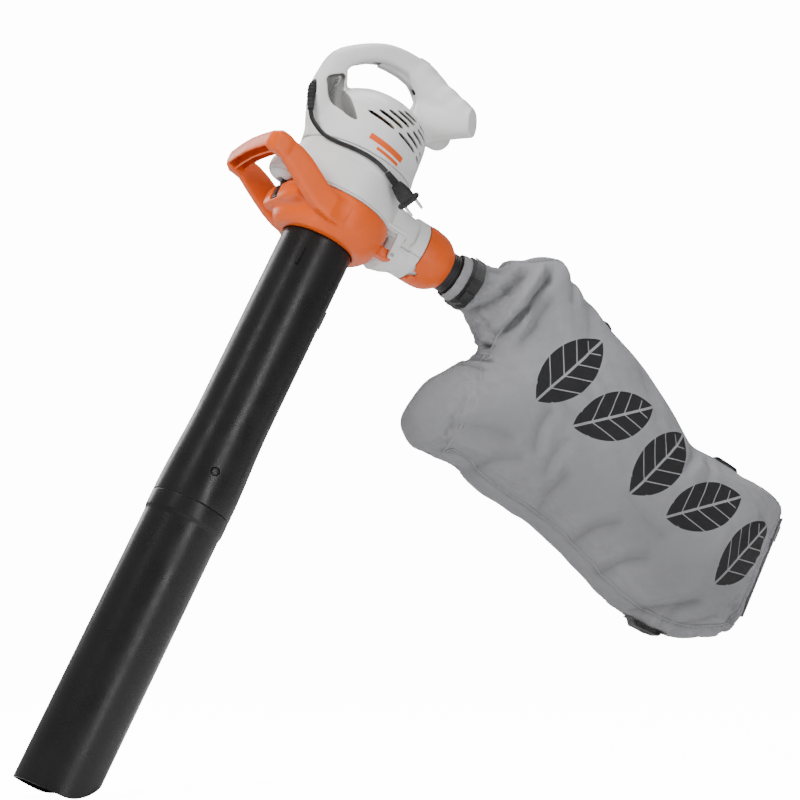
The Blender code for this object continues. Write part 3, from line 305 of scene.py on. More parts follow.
def wound(name, rgb, pitch=0.9):
    """Bundled enamelled wire."""
    m = Mat(name, rgb, rough=0.28, metal=0.85)
    x, y, z = m.axes()
    frequency = 2 * math.pi / pitch
    strands = (x + y * 0.6).wave(frequency).max((z + y * 1.1).wave(frequency))
    m.color(m.mix(m.ramp(strands, between=(-0.6, 1)), scaled(rgb, 0.35), scaled(rgb, 1.15)))
    m.bump(strands, distance=0.0004, strength=0.8)
    return m.material


def rubber(name, rgb=(0.013, 0.013, 0.014), rough=0.62):
    m = Mat(name, rgb, rough, spec=0.4)
    clouds = m.ramp(m.noise(scale=30, detail=4), between=(0.35, 0.7))
    m.color(m.mix(clouds, scaled(rgb, 0.8), scaled(rgb, 1.7)))
    smears = m.noise(scale=80, detail=4)
    m.rough(m.ramp(smears, between=(0.3, 0.7), to=(rough - 0.1, rough + 0.12)))
    m.bump(m.noise(scale=1800, detail=3), distance=0.00008)
    return m.material


# printed leaves: centre x, centre z, angle of the long axis in degrees
LEAVES = [(446, -8, 66), (548, -34, 40), (655, -60, 66), (757, -84, 40), (862, -112, 66)]
LEAF_RADIUS = 100.0           # of the two discs whose overlap is a leaf
LEAF_DISC_OFFSET = 62.0       # of each disc's centre from the leaf's long axis


def leaf_print(x, z, centre_x, centre_z, degrees):
    """One leaf with its middle vein and slanted side veins left bare."""
    c, s = math.cos(math.radians(degrees)), math.sin(math.radians(degrees))
    dx, dz = x - centre_x, z - centre_z
    a = dx * c + dz * s
    b = dx * -s + dz * c
    disc_1 = (a * a + (b + LEAF_DISC_OFFSET).op('POWER', 2.0)).op('SQRT')
    disc_2 = (a * a + (b - LEAF_DISC_OFFSET).op('POWER', 2.0)).op('SQRT')
    leaf = disc_1.max(disc_2) < LEAF_RADIUS
    off_vein = abs(b) > 2.0
    slant = a - abs(b) * 0.9
    from_side_vein = abs((slant * (1 / 30.0)).op('FRACT') - 0.5)
    off_side_veins = (from_side_vein > 0.04).max(abs(a) > 58.0)
    return leaf * (off_vein * off_side_veins)


def fabric(name, rgb, pitch=1.3):
    """Woven cloth with painted shade darkening it towards the bottom, and a row of printed leaves."""
    m = Mat(name, rgb, rough=0.88, spec=0.25)
    x, y, z = m.axes()
    frequency = 2 * math.pi / pitch
    weave = (x + y * 0.35).wave(frequency) * (z + y * 0.93).wave(frequency)
    m.bump(weave, distance=0.00022)
    clouds = m.ramp(m.noise(scale=6.0, detail=5, rough=0.6), between=(0.3, 0.72))
    base = m.mix(clouds, scaled(rgb, 0.90), scaled(rgb, 1.07))
    specks = m.ramp(m.noise(scale=60.0, detail=4, rough=0.7), between=(0.35, 0.75), to=(0.0, 0.5))
    base = m.mix(specks, base, scaled(rgb, 0.86))
    base = m.mix(m.ramp(weave, between=(-1.0, 1.0), to=(0.16, 0.0)), base, (0.05, 0.05, 0.055))
    # painted shade: the cloth is coloured darker towards the bottom
    base = m.mix(m.ramp(z, between=(-30, -230), to=(0.0, 0.62)), base, scaled(rgb, 0.5))
    mark = leaf_print(x, z, *LEAVES[0])
    for leaf in LEAVES[1:]:
        mark = mark.max(leaf_print(x, z, *leaf))
    near = y < OUTLET_Y - 8.0
    ink = m.ramp(m.noise(scale=160, detail=4, rough=0.7), between=(0.10, 0.32), to=(0.9, 1.0))
    mark = (mark * near) * (ink * 0.97)
    # painted shade in the folds, from how creased the bag is at each point
    attribute = m.node("Attribute")
    attribute.attribute_name = "crease_shade"
    crease_shade = Value(m, attribute.outputs["Fac"])
    base = m.mix(crease_shade * 0.72, base, (0.045, 0.045, 0.05))
    m.color(m.mix(mark, base, (0.009, 0.009, 0.010)))
    m.rough(m.ramp(mark, between=(0, 1), to=(0.88, 0.55)))
    m.bump(m.noise(scale=14.0, detail=3, rough=0.5), distance=0.004, strength=0.35)
    m.put(m.bsdf, "Sheen Weight", m.ramp(mark, between=(0, 1), to=(0.2, 0.0)))
    m.put(m.bsdf, "Sheen Roughness", 0.5)
    return m.material


def webbing(name, rgb, pitch=1.6):
    """Ribbed tape."""
    m = Mat(name, rgb, rough=0.8, spec=0.3)
    x, y, z = m.axes()
    frequency = 2 * math.pi / pitch
    ribs = (x + z).wave(frequency)
    weave = ribs + (y + z * 0.4).wave(frequency * 0.7) * 0.6
    m.bump(weave, distance=0.0003)
    m.color(m.mix(m.ramp(weave, between=(-1.2, 1.4)), scaled(rgb, 0.6), scaled(rgb, 2.4)))
    m.rough(m.ramp(m.noise(scale=90, detail=3), between=(0.3, 0.7), to=(0.7, 0.95)))
    m.put(m.bsdf, "Sheen Weight", 0.3)
    return m.material


HOUSING = housing("moulded_light_grey")
ORANGE = plastic("moulded_orange", ORANGE_RGB, rough=0.34, grain=0.00005, wear=0.10, dirt=0.07,
                 spec=0.30).material
TUBE = plastic("extruded_black", (0.0085, 0.0082, 0.0084), rough=0.30, grain=0.00004, wear=0.02,
               dirt=0.12, spec=0.30).material
DARK = plastic("satin_black", (0.014, 0.014, 0.015), rough=0.42, wear=0.05, spec=0.35).material
TRIM = plastic("moulded_grey_control", (0.50, 0.50, 0.495), rough=0.40).material
RUBBER = rubber("soft_black_rubber")
STEEL = metal("bright_steel_finish", (0.62, 0.62, 0.63), rough=0.24, stretch=(1, 1, 12))
PIN = metal("nickel_pin", (0.72, 0.71, 0.68), rough=0.2, stretch=(1, 12, 1))
CORE = metal("stacked_laminations", (0.30, 0.30, 0.31), rough=0.42, lines=1.0)
COPPER = wound("enamelled_winding", (0.62, 0.24, 0.09))
CARBON = rubber("pressed_carbon", (0.035, 0.035, 0.037), rough=0.5)
BRASS = metal("brass_finish", (0.66, 0.48, 0.2), rough=0.28, stretch=(8, 1, 1))
CLOTH = fabric("bag_weave", (0.315, 0.315, 0.338))
HEM = fabric("hem_weave", (0.36, 0.36, 0.378), pitch=1.1)
WEB = webbing("black_webbing", (0.006, 0.006, 0.0065))
THREAD = webbing("stitch_thread", (0.09, 0.09, 0.095), pitch=0.7)

# CAD pieces that keep their own mesh and only take a material
CAD_FINISHES = (
    (STEEL, ("motor_shaft", "shredder_blade", "blade_nut", "shredder_spacer", "hinge_pin",
             "bearing_lower", "bearing_upper", "trigger_pin", "brush_spring_left",
             "brush_spring_right", "housing_screw_1", "housing_screw_2", "housing_screw_3")),
    (PIN, ("plug_pin_a", "plug_pin_b")),
    (CORE, ("armature_core", "field_stack")),
    (COPPER, ("winding_head_lower", "winding_head_upper", "field_coil_near",
              "field_coil_far", "commutator")),
    (CARBON, ("carbon_brush_left", "carbon_brush_right")),
    (BRASS, ("brush_holder_left", "brush_holder_right")),
    (DARK, ("impeller", "cooling_fan", "bearing_bridge", "switch_block")),
    (RUBBER, ("outlet_seal", "cable_boot", "power_cable", "plug_body")))


def dress_cad():
    for material, nodes in CAD_FINISHES:
        for node in nodes:
            slots = frame["nodes"][node].data.materials
            slots.clear()
            slots.append(material)


# ------------------------------------------------------------------ mesh helpers
def sharpen(ob, degrees):
    ob.data.shade_smooth()
    ob.data.set_sharp_from_angle(angle=math.radians(degrees))


def face_outward(mesh):
    bm = bmesh.new()
    bm.from_mesh(mesh)
    bmesh.ops.recalc_face_normals(bm, faces=bm.faces)
    bm.to_mesh(mesh)
    bm.free()


def mesh_object(name, points, faces, material, body, replaces=None, sharp=None):
    """Smooth-shaded object that rides a body of the frame."""
    mesh = bpy.data.meshes.new(name)
    mesh.from_pydata(to_world(points).tolist(), [], faces)
    mesh.validate()
    mesh.shade_smooth()
    if sharp:
        mesh.set_sharp_from_angle(angle=math.radians(sharp))
    mesh.materials.append(material)
    ob = link(name, mesh)
    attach(ob, body)
    if replaces:
        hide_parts(replaces)
    return ob


def unit(vector):
    vector = np.array(vector, float)
    return vector / np.linalg.norm(vector)


def catmull(rows, n):
    """Smooth curve through rows of numbers, n steps a span."""
    P = np.asarray(rows, float)
    out = []
    for i in range(len(P) - 1):
        a, b, c, d = P[max(i - 1, 0)], P[i], P[i + 1], P[min(i + 2, len(P) - 1)]
        for k in range(n):
            t = k / n
            out.append(0.5 * (2 * b + (c - a) * t + (2 * a - 5 * b + 4 * c - d) * t * t
                              + (3 * b - a - 3 * c + d) * t ** 3))
    out.append(P[-1])
    return np.array(out)


def filleted(profile, radius=None, n=4):
    """Closed profile with rounded corners; without a radius, the third column gives them."""
    table = np.array(profile, float)
    P = table[:, :2]
    radii = table[:, 2] if radius is None else [radius] * len(P)
    out = []
    for i, (p, r) in enumerate(zip(P, radii)):
        if r <= 0:
            out.append(p)
            continue
        a, b = P[i - 1] - p, P[(i + 1) % len(P)] - p
        len_a, len_b = np.linalg.norm(a), np.linalg.norm(b)
        t = min(r, len_a * 0.45, len_b * 0.45)
        start, end = p + a / len_a * t, p + b / len_b * t
        for k in range(n + 1):
            s = k / n
            out.append((1 - s) ** 2 * start + 2 * s * (1 - s) * p + s * s * end)
    return np.array(out)


def lathe(name, profile, material, body, replaces=None, steps=96, place=None, wobble=None):
    """Closed profile (r, z) turned about z; place maps its points to machine coordinates."""
    P = np.asarray(profile, float)
    n = len(P)
    a = np.arange(steps) * 2 * math.pi / steps
    r = np.repeat(P[None, :, 0], steps, 0)
    z = np.repeat(P[None, :, 1], steps, 0)
    if wobble is not None:
        r = r + wobble(a[:, None], z)
    points = np.stack([r * np.cos(a)[:, None], r * np.sin(a)[:, None], z], -1).reshape(-1, 3)
    area = sum(P[i][0] * P[(i + 1) % n][1] - P[(i + 1) % n][0] * P[i][1] for i in range(n))
    faces = []
    for s in range(steps):
        t = (s + 1) % steps
        for i in range(n):
            j = (i + 1) % n
            face = (s * n + i, t * n + i, t * n + j, s * n + j)
            faces.append(face if area > 0 else face[::-1])
    if place is not None:
        points = place(points)
    return mesh_object(name, points, faces, material, body, replaces, sharp=35)


def outlet(points):
    """Outlet frame: local z runs along machine x, local x points down the fan axis."""
    return np.stack([points[:, 2], OUTLET_Y + points[:, 1], OUTLET_Z - points[:, 0]], -1)


def skin_faces(rows, n):
    """Faces over rows of n points each, with a cap at both ends."""
    faces = [(i * n + k, i * n + (k + 1) % n, (i + 1) * n + (k + 1) % n, (i + 1) * n + k)
             for i in range(rows - 1) for k in range(n)]
    return faces + [tuple(range(n))[::-1], tuple((rows - 1) * n + k for k in range(n))]


def ring_mesh(rings, n=28):
    """Skin over superellipse rings (centre, u, v, exponent)."""
    t = 2 * math.pi * (np.arange(n) + 0.5) / n
    points = []
    for centre, u, v, e in rings:
        cos = np.sign(np.cos(t)) * np.abs(np.cos(t)) ** (2 / e)
        sin = np.sign(np.sin(t)) * np.abs(np.sin(t)) ** (2 / e)
        points.append(np.array(centre)[None] + cos[:, None] * np.array(u)[None]
                      + sin[:, None] * np.array(v)[None])
    return np.concatenate(points), skin_faces(len(rings), n)


def loft(name, rings, material, body, replaces, n):
    points, faces = ring_mesh(rings, n)
    centre, u, v, _ = rings[0]
    if np.dot(np.cross(u, v), np.array(rings[1][0], float) - np.array(centre, float)) < 0:
        faces = [f[::-1] for f in faces]
    return mesh_object(name, points, faces, material, body, replaces, sharp=35)


def tube_along(name, path, half_u, half_v, material, body, replaces=None, n=20, flat=False,
               up=(0, 1, 0)):
    """Rod swept along points; flat gives it a squarer section. half_u starts along up."""
    P = np.asarray(path, float)
    T = np.gradient(P, axis=0)
    T /= np.linalg.norm(T, axis=1)[:, None]
    e = 0.35 if flat else 1.0
    a = 2 * math.pi * np.arange(n) / n
    cos = (np.sign(np.cos(a)) * np.abs(np.cos(a)) ** e)[:, None]
    sin = (np.sign(np.sin(a)) * np.abs(np.sin(a)) ** e)[:, None]
    rows = []
    side = np.array(up, float)
    for p, t in zip(P, T):
        u = side - t * np.dot(side, t)
        # guards against a path that turns along the side direction
        if np.linalg.norm(u) < 1e-3:
            u = np.cross(t, (0.3, 0.2, 0.9))
        side = u / np.linalg.norm(u)
        rows.append(p[None] + (cos * side[None] * half_u + sin * np.cross(t, side)[None] * half_v))
    return mesh_object(name, np.concatenate(rows), skin_faces(len(P), n), material, body,
                       replaces, sharp=40)


def box_mesh(lo, hi):
    x0, y0, z0 = lo
    x1, y1, z1 = hi
    points = [(x0, y0, z0), (x1, y0, z0), (x1, y1, z0), (x0, y1, z0),
              (x0, y0, z1), (x1, y0, z1), (x1, y1, z1), (x0, y1, z1)]
    faces = [(0, 3, 2, 1), (4, 5, 6, 7), (0, 1, 5, 4), (1, 2, 6, 5), (2, 3, 7, 6), (3, 0, 4, 7)]
    return np.array(points, float), faces


def cylinder_mesh(a, b, r, n=32):
    a, b = np.array(a, float), np.array(b, float)
    t = unit(b - a)
    u = unit(np.cross(t, (0.31, 0.57, 0.76)))
    v = np.cross(t, u)
    k = 2 * math.pi * np.arange(n) / n
    circle = np.cos(k)[:, None] * u[None] + np.sin(k)[:, None] * v[None]
    return np.concatenate([a + circle * r, b + circle * r]), skin_faces(2, n)


def prism(outline, y0, y1):
    """Outline (x, z) stretched from y0 to y1; the caps come first."""
    n = len(outline)
    faces = skin_faces(2, n)
    return np.array([(x, y, z) for y in (y0, y1) for x, z in outline]), faces[-2:] + faces[:-2]


def spin(shape, angle):
    """Turns (points, faces) about the machine's z axis."""
    c, s = math.cos(angle), math.sin(angle)
    return shape[0] @ np.array([[c, s, 0], [-s, c, 0], [0, 0, 1]]), shape[1]


def in_outlet(shape):
    return outlet(shape[0]), shape[1]


def block(name, lo, hi, material, body, replaces=None, bevel=1.0, segments=3, turn=None):
    """Rounded moulded block between two corners; turn maps its points afterwards."""
    bm = bmesh.new()
    corners, faces = box_mesh(lo, hi)
    verts = [bm.verts.new(v) for v in corners]
    for f in faces:
        bm.faces.new([verts[i] for i in f])
    bmesh.ops.bevel(bm, geom=bm.edges[:] + bm.verts[:], offset=bevel, segments=segments,
                    affect='EDGES', profile=0.5)
    bm.verts.index_update()
    points = np.array([v.co[:] for v in bm.verts])
    faces = [[v.index for v in f.verts] for f in bm.faces]
    bm.free()
    if turn is not None:
        points = turn(points)
    return mesh_object(name, points, faces, material, body, replaces, sharp=50)


def cutter(points, faces):
    mesh = bpy.data.meshes.new("tool")
    mesh.from_pydata(to_world(points).tolist(), [], faces)
    face_outward(mesh)
    return link("tool", mesh)


def carve(ob, tools, operation='DIFFERENCE'):
    """Boolean cuts, applied to the mesh; a skipped cut falls back to the exact solver."""
    for points, faces in tools:
        tool = cutter(points, faces)
        before = len(ob.data.polygons)
        for solver in ('MANIFOLD', 'EXACT'):
            modifier = ob.modifiers.new("cut", 'BOOLEAN')
            modifier.object = tool
            modifier.operation = operation
            modifier.solver = solver
            depsgraph = bpy.context.evaluated_depsgraph_get()
            depsgraph.update()
            mesh = bpy.data.meshes.new_from_object(ob.evaluated_get(depsgraph))
            ob.modifiers.remove(modifier)
            if len(mesh.polygons) != before or solver == 'EXACT':
                old = ob.data
                ob.data = mesh
                mesh.name = old.name
                break
        bpy.data.objects.remove(tool)


# ------------------------------------------------------------------ distance fields
def smin(a, b, k):
    """Union of two fields, blended over k."""
    if k <= 0:
        return np.minimum(a, b)
    h = np.clip(0.5 + 0.5 * (b - a) / k, 0, 1)
    return b * (1 - h) + a * h - k * h * (1 - h)


def smax(a, b, k):
    return -smin(-a, -b, k)


def poly_sdf(px, pz, outline):
    """Signed distance to a closed polygon, negative inside."""
    P = np.asarray(outline, float)
    d = np.full(np.broadcast(px, pz).shape, 1e9)
    sign = np.ones(d.shape)
    for i in range(len(P)):
        a, b = P[i], P[i - 1]
        ex, ez = b - a
        wx, wz = px - a[0], pz - a[1]
        t = np.clip((wx * ex + wz * ez) / max(ex * ex + ez * ez, 1e-12), 0, 1)
        d = np.minimum(d, (wx - ex * t) ** 2 + (wz - ez * t) ** 2)
        c1, c2, c3 = pz >= a[1], pz < b[1], ex * wz > ez * wx
        flip = (c1 & c2 & c3) | (~c1 & ~c2 & ~c3)
        sign = np.where(flip, -sign, sign)
    return sign * np.sqrt(d)


def spread(axes):
    x, y, z = axes
    return x[:, None, None], y[None, :, None], z[None, None, :]


def grid(lo, hi, step):
    """The three axes of a grid, and the same axes ready to broadcast."""
    axes = [np.arange(a, b + step, step, dtype=np.float32) for a, b in zip(lo, hi)]
    return axes, spread(axes)


def index_at(axis, step, position):
    return int((position - axis[0]) / step)


def add_within(values, axes, step, lo, hi, shape, blend=0.0):
    """Joins a shape to a field, inside a box only."""
    region = tuple(slice(max(0, int(np.floor((lo[i] - axis[0]) / step))),
                         min(len(axis), int(np.ceil((hi[i] - axis[0]) / step)) + 1))
                   for i, axis in enumerate(axes))
    X, Y, Z = spread([axis[part] for axis, part in zip(axes, region)])
    values[region] = smin(values[region], shape(X, Y, Z).astype(np.float32), blend)


def side_sdf(axes, outline):
    """Distance to an (x, z) outline that runs right across y."""
    x, z = axes[0][:, None].astype(float), axes[2][None, :].astype(float)
    return poly_sdf(x, z, outline)[:, None, :]


def box_sdf(lo, hi, r, X, Y, Z):
    centre = [(a + b) / 2 for a, b in zip(lo, hi)]
    half = [(b - a) / 2 - r for a, b in zip(lo, hi)]
    d = [np.abs(A - centre[i]) - half[i] for i, A in enumerate((X, Y, Z))]
    out = np.sqrt(np.maximum(d[0], 0) ** 2 + np.maximum(d[1], 0) ** 2 + np.maximum(d[2], 0) ** 2)
    return out + np.minimum(np.maximum(d[0], np.maximum(d[1], d[2])), 0) - r


def blob_sdf(c, h, e, X, Y, Z):
    """Superellipsoid with centre c, half sizes h and exponent e."""
    return ((np.abs((X - c[0]) / h[0]) ** e + np.abs((Y - c[1]) / h[1]) ** e
             + np.abs((Z - c[2]) / h[2]) ** e) ** (1 / e) - 1) * min(h)


def turned_sdf(profile, X, Y, Z):
    """Solid turned about z, from its half profile (r, z) mirrored about the axis."""
    half = [(r, z) for r, z in profile]
    outline = half + [(-r, z) for r, z in half[::-1]]
    radius_step = 0.75
    radii = np.arange(0, 111.0, radius_step)
    table = poly_sdf(radii[:, None], Z.ravel().astype(float)[None, :], outline)
    R = np.sqrt(X * X + Y * Y)
    q = np.clip(R[:, :, 0] / radius_step, 0, len(radii) - 1.001)
    i = q.astype(int)
    t = (q - i)[:, :, None]
    return table[i] * (1 - t) + table[i + 1] * t


def columns_along_x(axes, table):
    """Each column of a station table, interpolated over its first column, x."""
    table = np.array(table)
    return [np.interp(axes[0].astype(float), table[:, 0], column)[:, None, None]
            for column in table.T[1:]]


def quad_edges(Q):
    return np.concatenate([Q[:, [0, 1]], Q[:, [1, 2]], Q[:, [2, 3]], Q[:, [3, 0]]])


def surface(values, axes, h):
    """Surface nets: one vertex per crossed cell, one quad per crossed grid edge, smoothed."""
    V = values.copy()
    for i in range(3):
        border = [slice(None)] * 3
        for e in (0, -1):
            border[i] = e
            V[tuple(border)] = np.maximum(V[tuple(border)], h)
    inside = V < 0
    n = [k - 1 for k in V.shape]
    corners = [(x, y, z) for x in (0, 1) for y in (0, 1) for z in (0, 1)]
    count = np.zeros(n, np.int8)
    for x, y, z in corners:
        count += inside[x:n[0] + x, y:n[1] + y, z:n[2] + z]
    I, J, K = np.nonzero((count > 0) & (count < 8))
    vertex_id = np.full(n, -1, np.int64)
    vertex_id[I, J, K] = np.arange(len(I))
    corner = {(x, y, z): V[I + x, J + y, K + z].astype(float) for x, y, z in corners}
    total = np.zeros((len(I), 3))
    crossings = np.zeros(len(I))
    for a in corners:
        for axis in range(3):
            if a[axis] == 1:
                continue
            b = list(a)
            b[axis] = 1
            va, vb = corner[a], corner[tuple(b)]
            crossed = (va < 0) != (vb < 0)
            t = np.where(crossed, va / np.where(crossed, va - vb, 1), 0)
            for c in range(3):
                total[:, c] += crossed * (a[c] + t * (b[c] - a[c]))
            crossings += crossed
    origin = np.array([a[0] for a in axes])
    P = (np.stack([I, J, K], 1) + total / crossings[:, None]) * h + origin

    quads = []
    steps = np.eye(3, dtype=int)[:, :, None]
    for axis in range(3):
        b, c = (axis + 1) % 3, (axis + 2) % 3
        low = [slice(1, -1)] * 3
        high = [slice(1, -1)] * 3
        low[axis], high[axis] = slice(None, -1), slice(1, None)
        at = np.array(np.nonzero(inside[tuple(low)] != inside[tuple(high)]))
        at[b] += 1
        at[c] += 1
        q = np.stack([vertex_id[tuple(cell)] for cell in
                      (at - steps[b] - steps[c], at - steps[c], at, at - steps[b])], 1)
        quads.append(np.where(inside[tuple(at)][:, None], q, q[:, ::-1]))
    Q = np.concatenate(quads)

    E = quad_edges(Q)
    degree = np.bincount(E[:, 0], minlength=len(P)) + np.bincount(E[:, 1], minlength=len(P))
    for strength in (0.55, -0.50, 0.55, -0.50):
        A = np.zeros_like(P)
        for c in range(3):
            A[:, c] = (np.bincount(E[:, 0], P[E[:, 1], c], len(P))
                       + np.bincount(E[:, 1], P[E[:, 0], c], len(P)))
        P = P + strength * (A / np.maximum(degree, 1)[:, None] - P)
    return biggest(P, Q)


def biggest(P, Q):
    """Keeps the largest connected piece of a quad mesh."""
    label = np.arange(len(P))
    E = quad_edges(Q)
    for _ in range(400):
        m = np.minimum(label[E[:, 0]], label[E[:, 1]])
        new = label.copy()
        np.minimum.at(new, E[:, 0], m)
        np.minimum.at(new, E[:, 1], m)
        new = new[new]
        if (new == label).all():
            break
        label = new
    ids, counts = np.unique(label, return_counts=True)
    keep = label == ids[np.argmax(counts)]
    if keep.all():
        return P, Q
    remap = np.cumsum(keep) - 1
    return P[keep], remap[Q[keep[Q[:, 0]]]]


def from_field(name, values, axes, step, material, body, replaces):
    P, Q = surface(values, axes, step)
    return mesh_object(name, P, Q.tolist(), material, body, replaces)


# ------------------------------------------------------------------ motor housing
MOTOR_STEP = 1.7
MOTOR_WALL = 3.0
# grip loop centre line: x, z, half thickness in the x-z plane, half width across y
HANDLE = [
    (-66, 94, 21, 20), (-74, 118, 22, 21), (-83, 145, 24.5, 22.5), (-91, 178, 27.5, 22),
    (-92, 205, 26, 21), (-89, 229, 24.5, 20), (-75, 250, 20.5, 19.5), (-54, 269, 18, 19),
    (-32, 280.5, 18.5, 18.5), (-8, 285.5, 19.5, 18.5), (20, 285.5, 21, 19), (42, 280, 24.5, 20),
    (58, 266, 26, 21), (66, 245, 24, 22), (67, 221, 24, 23), (60, 196, 22, 21)]
# dome half profile: r, z
DOME = [(0, 216), (18, 215.6), (36, 213.6), (52, 208.5), (64, 201), (74, 192.0), (81, 182),
        (84.8, 171), (86, 160), (87, 146), (88.5, 122), (90.5, 108), (91, 100), (91, 60), (0, 60)]
# stub arms: centre of the end face and outward direction, for the far side
ARM_END = np.array([121.0, 60.0, 239.0])
ARM_DIRECTION = unit([57.0, 60.0, 21.0])
ARM_LENGTH = 84
# radius of a stub at distances back from its end face
ARM_DISTANCES = (0, 3, 26, 56, ARM_LENGTH)
ARM_RADII = (20.8, 21.2, 23.2, 26.5, 31.0)
# web from the back of the loop to a stub: x, y on the far side, z, radius
SHOULDER_WEB = [(34, 0, 280, 22), (56, 8, 270, 23), (78, 24, 259, 22), (98, 41, 249, 20),
                (111, 51, 243.5, 17.5)]
# hand opening through the grip: x, z
OPENING = [(-81.5, 220), (-78, 231), (-68, 244), (-52, 257), (-33, 266), (-12, 270), (8, 269.5),
           (20, 262), (26, 240), (20, 216), (0, 208), (-40, 200), (-56, 184), (-60, 181)]
# hand recess in the near side: x, z
POCKET = [(-106, 190), (-105, 195), (-99, 201), (-87, 210), (-82, 209), (-79, 200), (-74.5, 180),
          (-65, 162), (-51.5, 141), (-54.5, 138.8), (-66, 143.5), (-80, 155.5), (-91, 166),
          (-100, 179)]
# curved vent rows: start angle from y, start z, end angle, end z, dashes as fractions of the row
VENTS = [(-30, 160, 57, 139, ((0.00, 0.37), (0.43, 0.78), (0.83, 1.0))),
         (-20, 168, 57, 150, ((0.00, 0.40), (0.47, 0.80), (0.86, 1.0))),
         (-11, 175.5, 57, 161, ((0.00, 0.42), (0.50, 0.86))),
         (-2, 182.5, 57, 173, ((0.00, 0.44), (0.53, 0.93))),
         (6, 189, 54, 185, ((0.00, 0.46), (0.56, 1.0)))]
SCREWS = [(-98, 222), (-104, 150), (62, 250)]      # x, z
TRIGGER_PIVOT = (28, 265)                          # x, z
# cable boot centre line: x, y, z, half size sideways, half size up
BOOT = [(-104, -2, 184, 4.6, 4.6), (-109, -3, 183, 4.6, 4.6), (-114, -5, 179, 6.6, 6.0),
        (-116.5, -8, 171, 7.2, 6.6), (-115.5, -13, 158, 6.6, 6.2), (-112, -17.5, 145, 6.0, 5.8),
        (-107.5, -21.5, 132.5, 5.2, 5.2)]


def handle_segment(a, b):
    def shape(X, Y, Z):
        d = b[:2] - a[:2]
        wx, wz = X - a[0], Z - a[1]
        t = np.clip((wx * d[0] + wz * d[1]) / (d @ d), 0, 1)
        q = np.sqrt((wx - t * d[0]) ** 2 + (wz - t * d[1]) ** 2)
        half_n, half_y = a[2] + t * (b[2] - a[2]), a[3] + t * (b[3] - a[3])
        section = (np.abs(q / half_n) ** 2.5 + np.abs(Y / half_y) ** 2.5) ** (1.0 / 2.5)
        return (section - 1) * np.minimum(half_n, half_y)
    return shape


def stub_arm(end, direction):
    def shape(X, Y, Z):
        wx, wy, wz = X - end[0], Y - end[1], Z - end[2]
        h = wx * direction[0] + wy * direction[1] + wz * direction[2]
        r = np.sqrt(np.maximum(wx * wx + wy * wy + wz * wz - h * h, 0))
        radius = np.interp(-h, ARM_DISTANCES, ARM_RADII)
        return smax(r - radius, np.maximum(h, -h - ARM_LENGTH), 3.5)
    return shape


def tapered_capsule(a, b):
    def shape(X, Y, Z):
        e = b[:3] - a[:3]
        wx, wy, wz = X - a[0], Y - a[1], Z - a[2]
        t = np.clip((wx * e[0] + wy * e[1] + wz * e[2]) / (e @ e), 0, 1)
        q = np.sqrt((wx - t * e[0]) ** 2 + (wy - t * e[1]) ** 2 + (wz - t * e[2]) ** 2)
        return q - (a[3] + t * (b[3] - a[3]))
    return shape


def handle_field(axes, X, Y, Z):
    """Grip loop with its two stub arms and the hand opening."""
    V = np.full([len(a) for a in axes], 60.0, np.float32)
    rows = catmull(HANDLE, 3)
    reach = 46
    for a, b in zip(rows, rows[1:]):
        lo = [min(a[0], b[0]) - reach, -40, min(a[1], b[1]) - reach]
        hi = [max(a[0], b[0]) + reach, 40, max(a[1], b[1]) + reach]
        add_within(V, axes, MOTOR_STEP, lo, hi, handle_segment(a, b))
    for side in (-1, 1):
        d = ARM_DIRECTION * (1, side, 1)
        e = ARM_END * (1, side, 1)
        add_within(V, axes, MOTOR_STEP, (20, -97, 190), (145, 97, 290), stub_arm(e, d), blend=9.0)
        web = np.array(SHOULDER_WEB, float) * (1, side, 1, 1)
        for a, b in zip(web, web[1:]):
            add_within(V, axes, MOTOR_STEP, (0, -97, 200), (145, 97, 312),
                       tapered_capsule(a, b), blend=8.0)
        # trims everything on this side back to the stub's end face
        end_cut = (X - e[0]) * d[0] + (Y - e[1]) * d[1] + (Z - e[2]) * d[2]
        V = np.where(Y * side > 30, smax(V, end_cut.astype(np.float32), 3.0), V)
    return smax(V, -side_sdf(axes, OPENING).astype(np.float32), 4.0)


def vent_tool(side):
    """All the vent dashes of one side as one mesh."""
    points, faces = [], []
    stations = 9
    for a0, z0, a1, z1, dashes in VENTS:
        for start, end in dashes:
            base = len(points)
            for i, f in enumerate(np.linspace(start, end, stations)):
                angle = math.radians(a0 + (a1 - a0) * f)
                z = z0 + (z1 - z0) * f
                # narrows towards both ends
                half = 2.7 * min(1.0, 0.45 + 1.6 * min(i, stations - 1 - i) / 2)
                for r in (60.0, 95.0):
                    for dz in (-half, half):
                        points.append((r * math.sin(angle), side * r * math.cos(angle), z + dz))
            for i in range(stations - 1):
                o, p = base + 4 * i, base + 4 * (i + 1)
                faces += [(o, o + 1, p + 1, p), (o + 2, p + 2, p + 3, o + 3),
                          (o, p, p + 2, o + 2), (o + 1, o + 3, p + 3, p + 1)]
            for o in (base, base + 4 * (stations - 1)):
                first, second = (o + 2, o + 1) if o == base else (o + 1, o + 2)
                faces.append((o, first, o + 3, second))
    return np.array(points, float), faces


def swept(rows, grow=0.0, tail=0.0):
    """Rings along rows (x, y, z, half side, half up), the ends moved outward by tail."""
    P = np.asarray(rows, float)
    T = np.gradient(P[:, :3], axis=0)
    T /= np.linalg.norm(T, axis=1)[:, None]
    rings = []
    for i, (p, t) in enumerate(zip(P, T)):
        side = unit(np.cross(t, (0, 1, 0)))
        up = np.cross(side, t)
        shift = -tail if i == 0 else (tail if i == len(P) - 1 else 0)
        rings.append((p[:3] + t * shift, side * (p[3] + grow), up * (p[4] + grow), 2.2))
    return rings


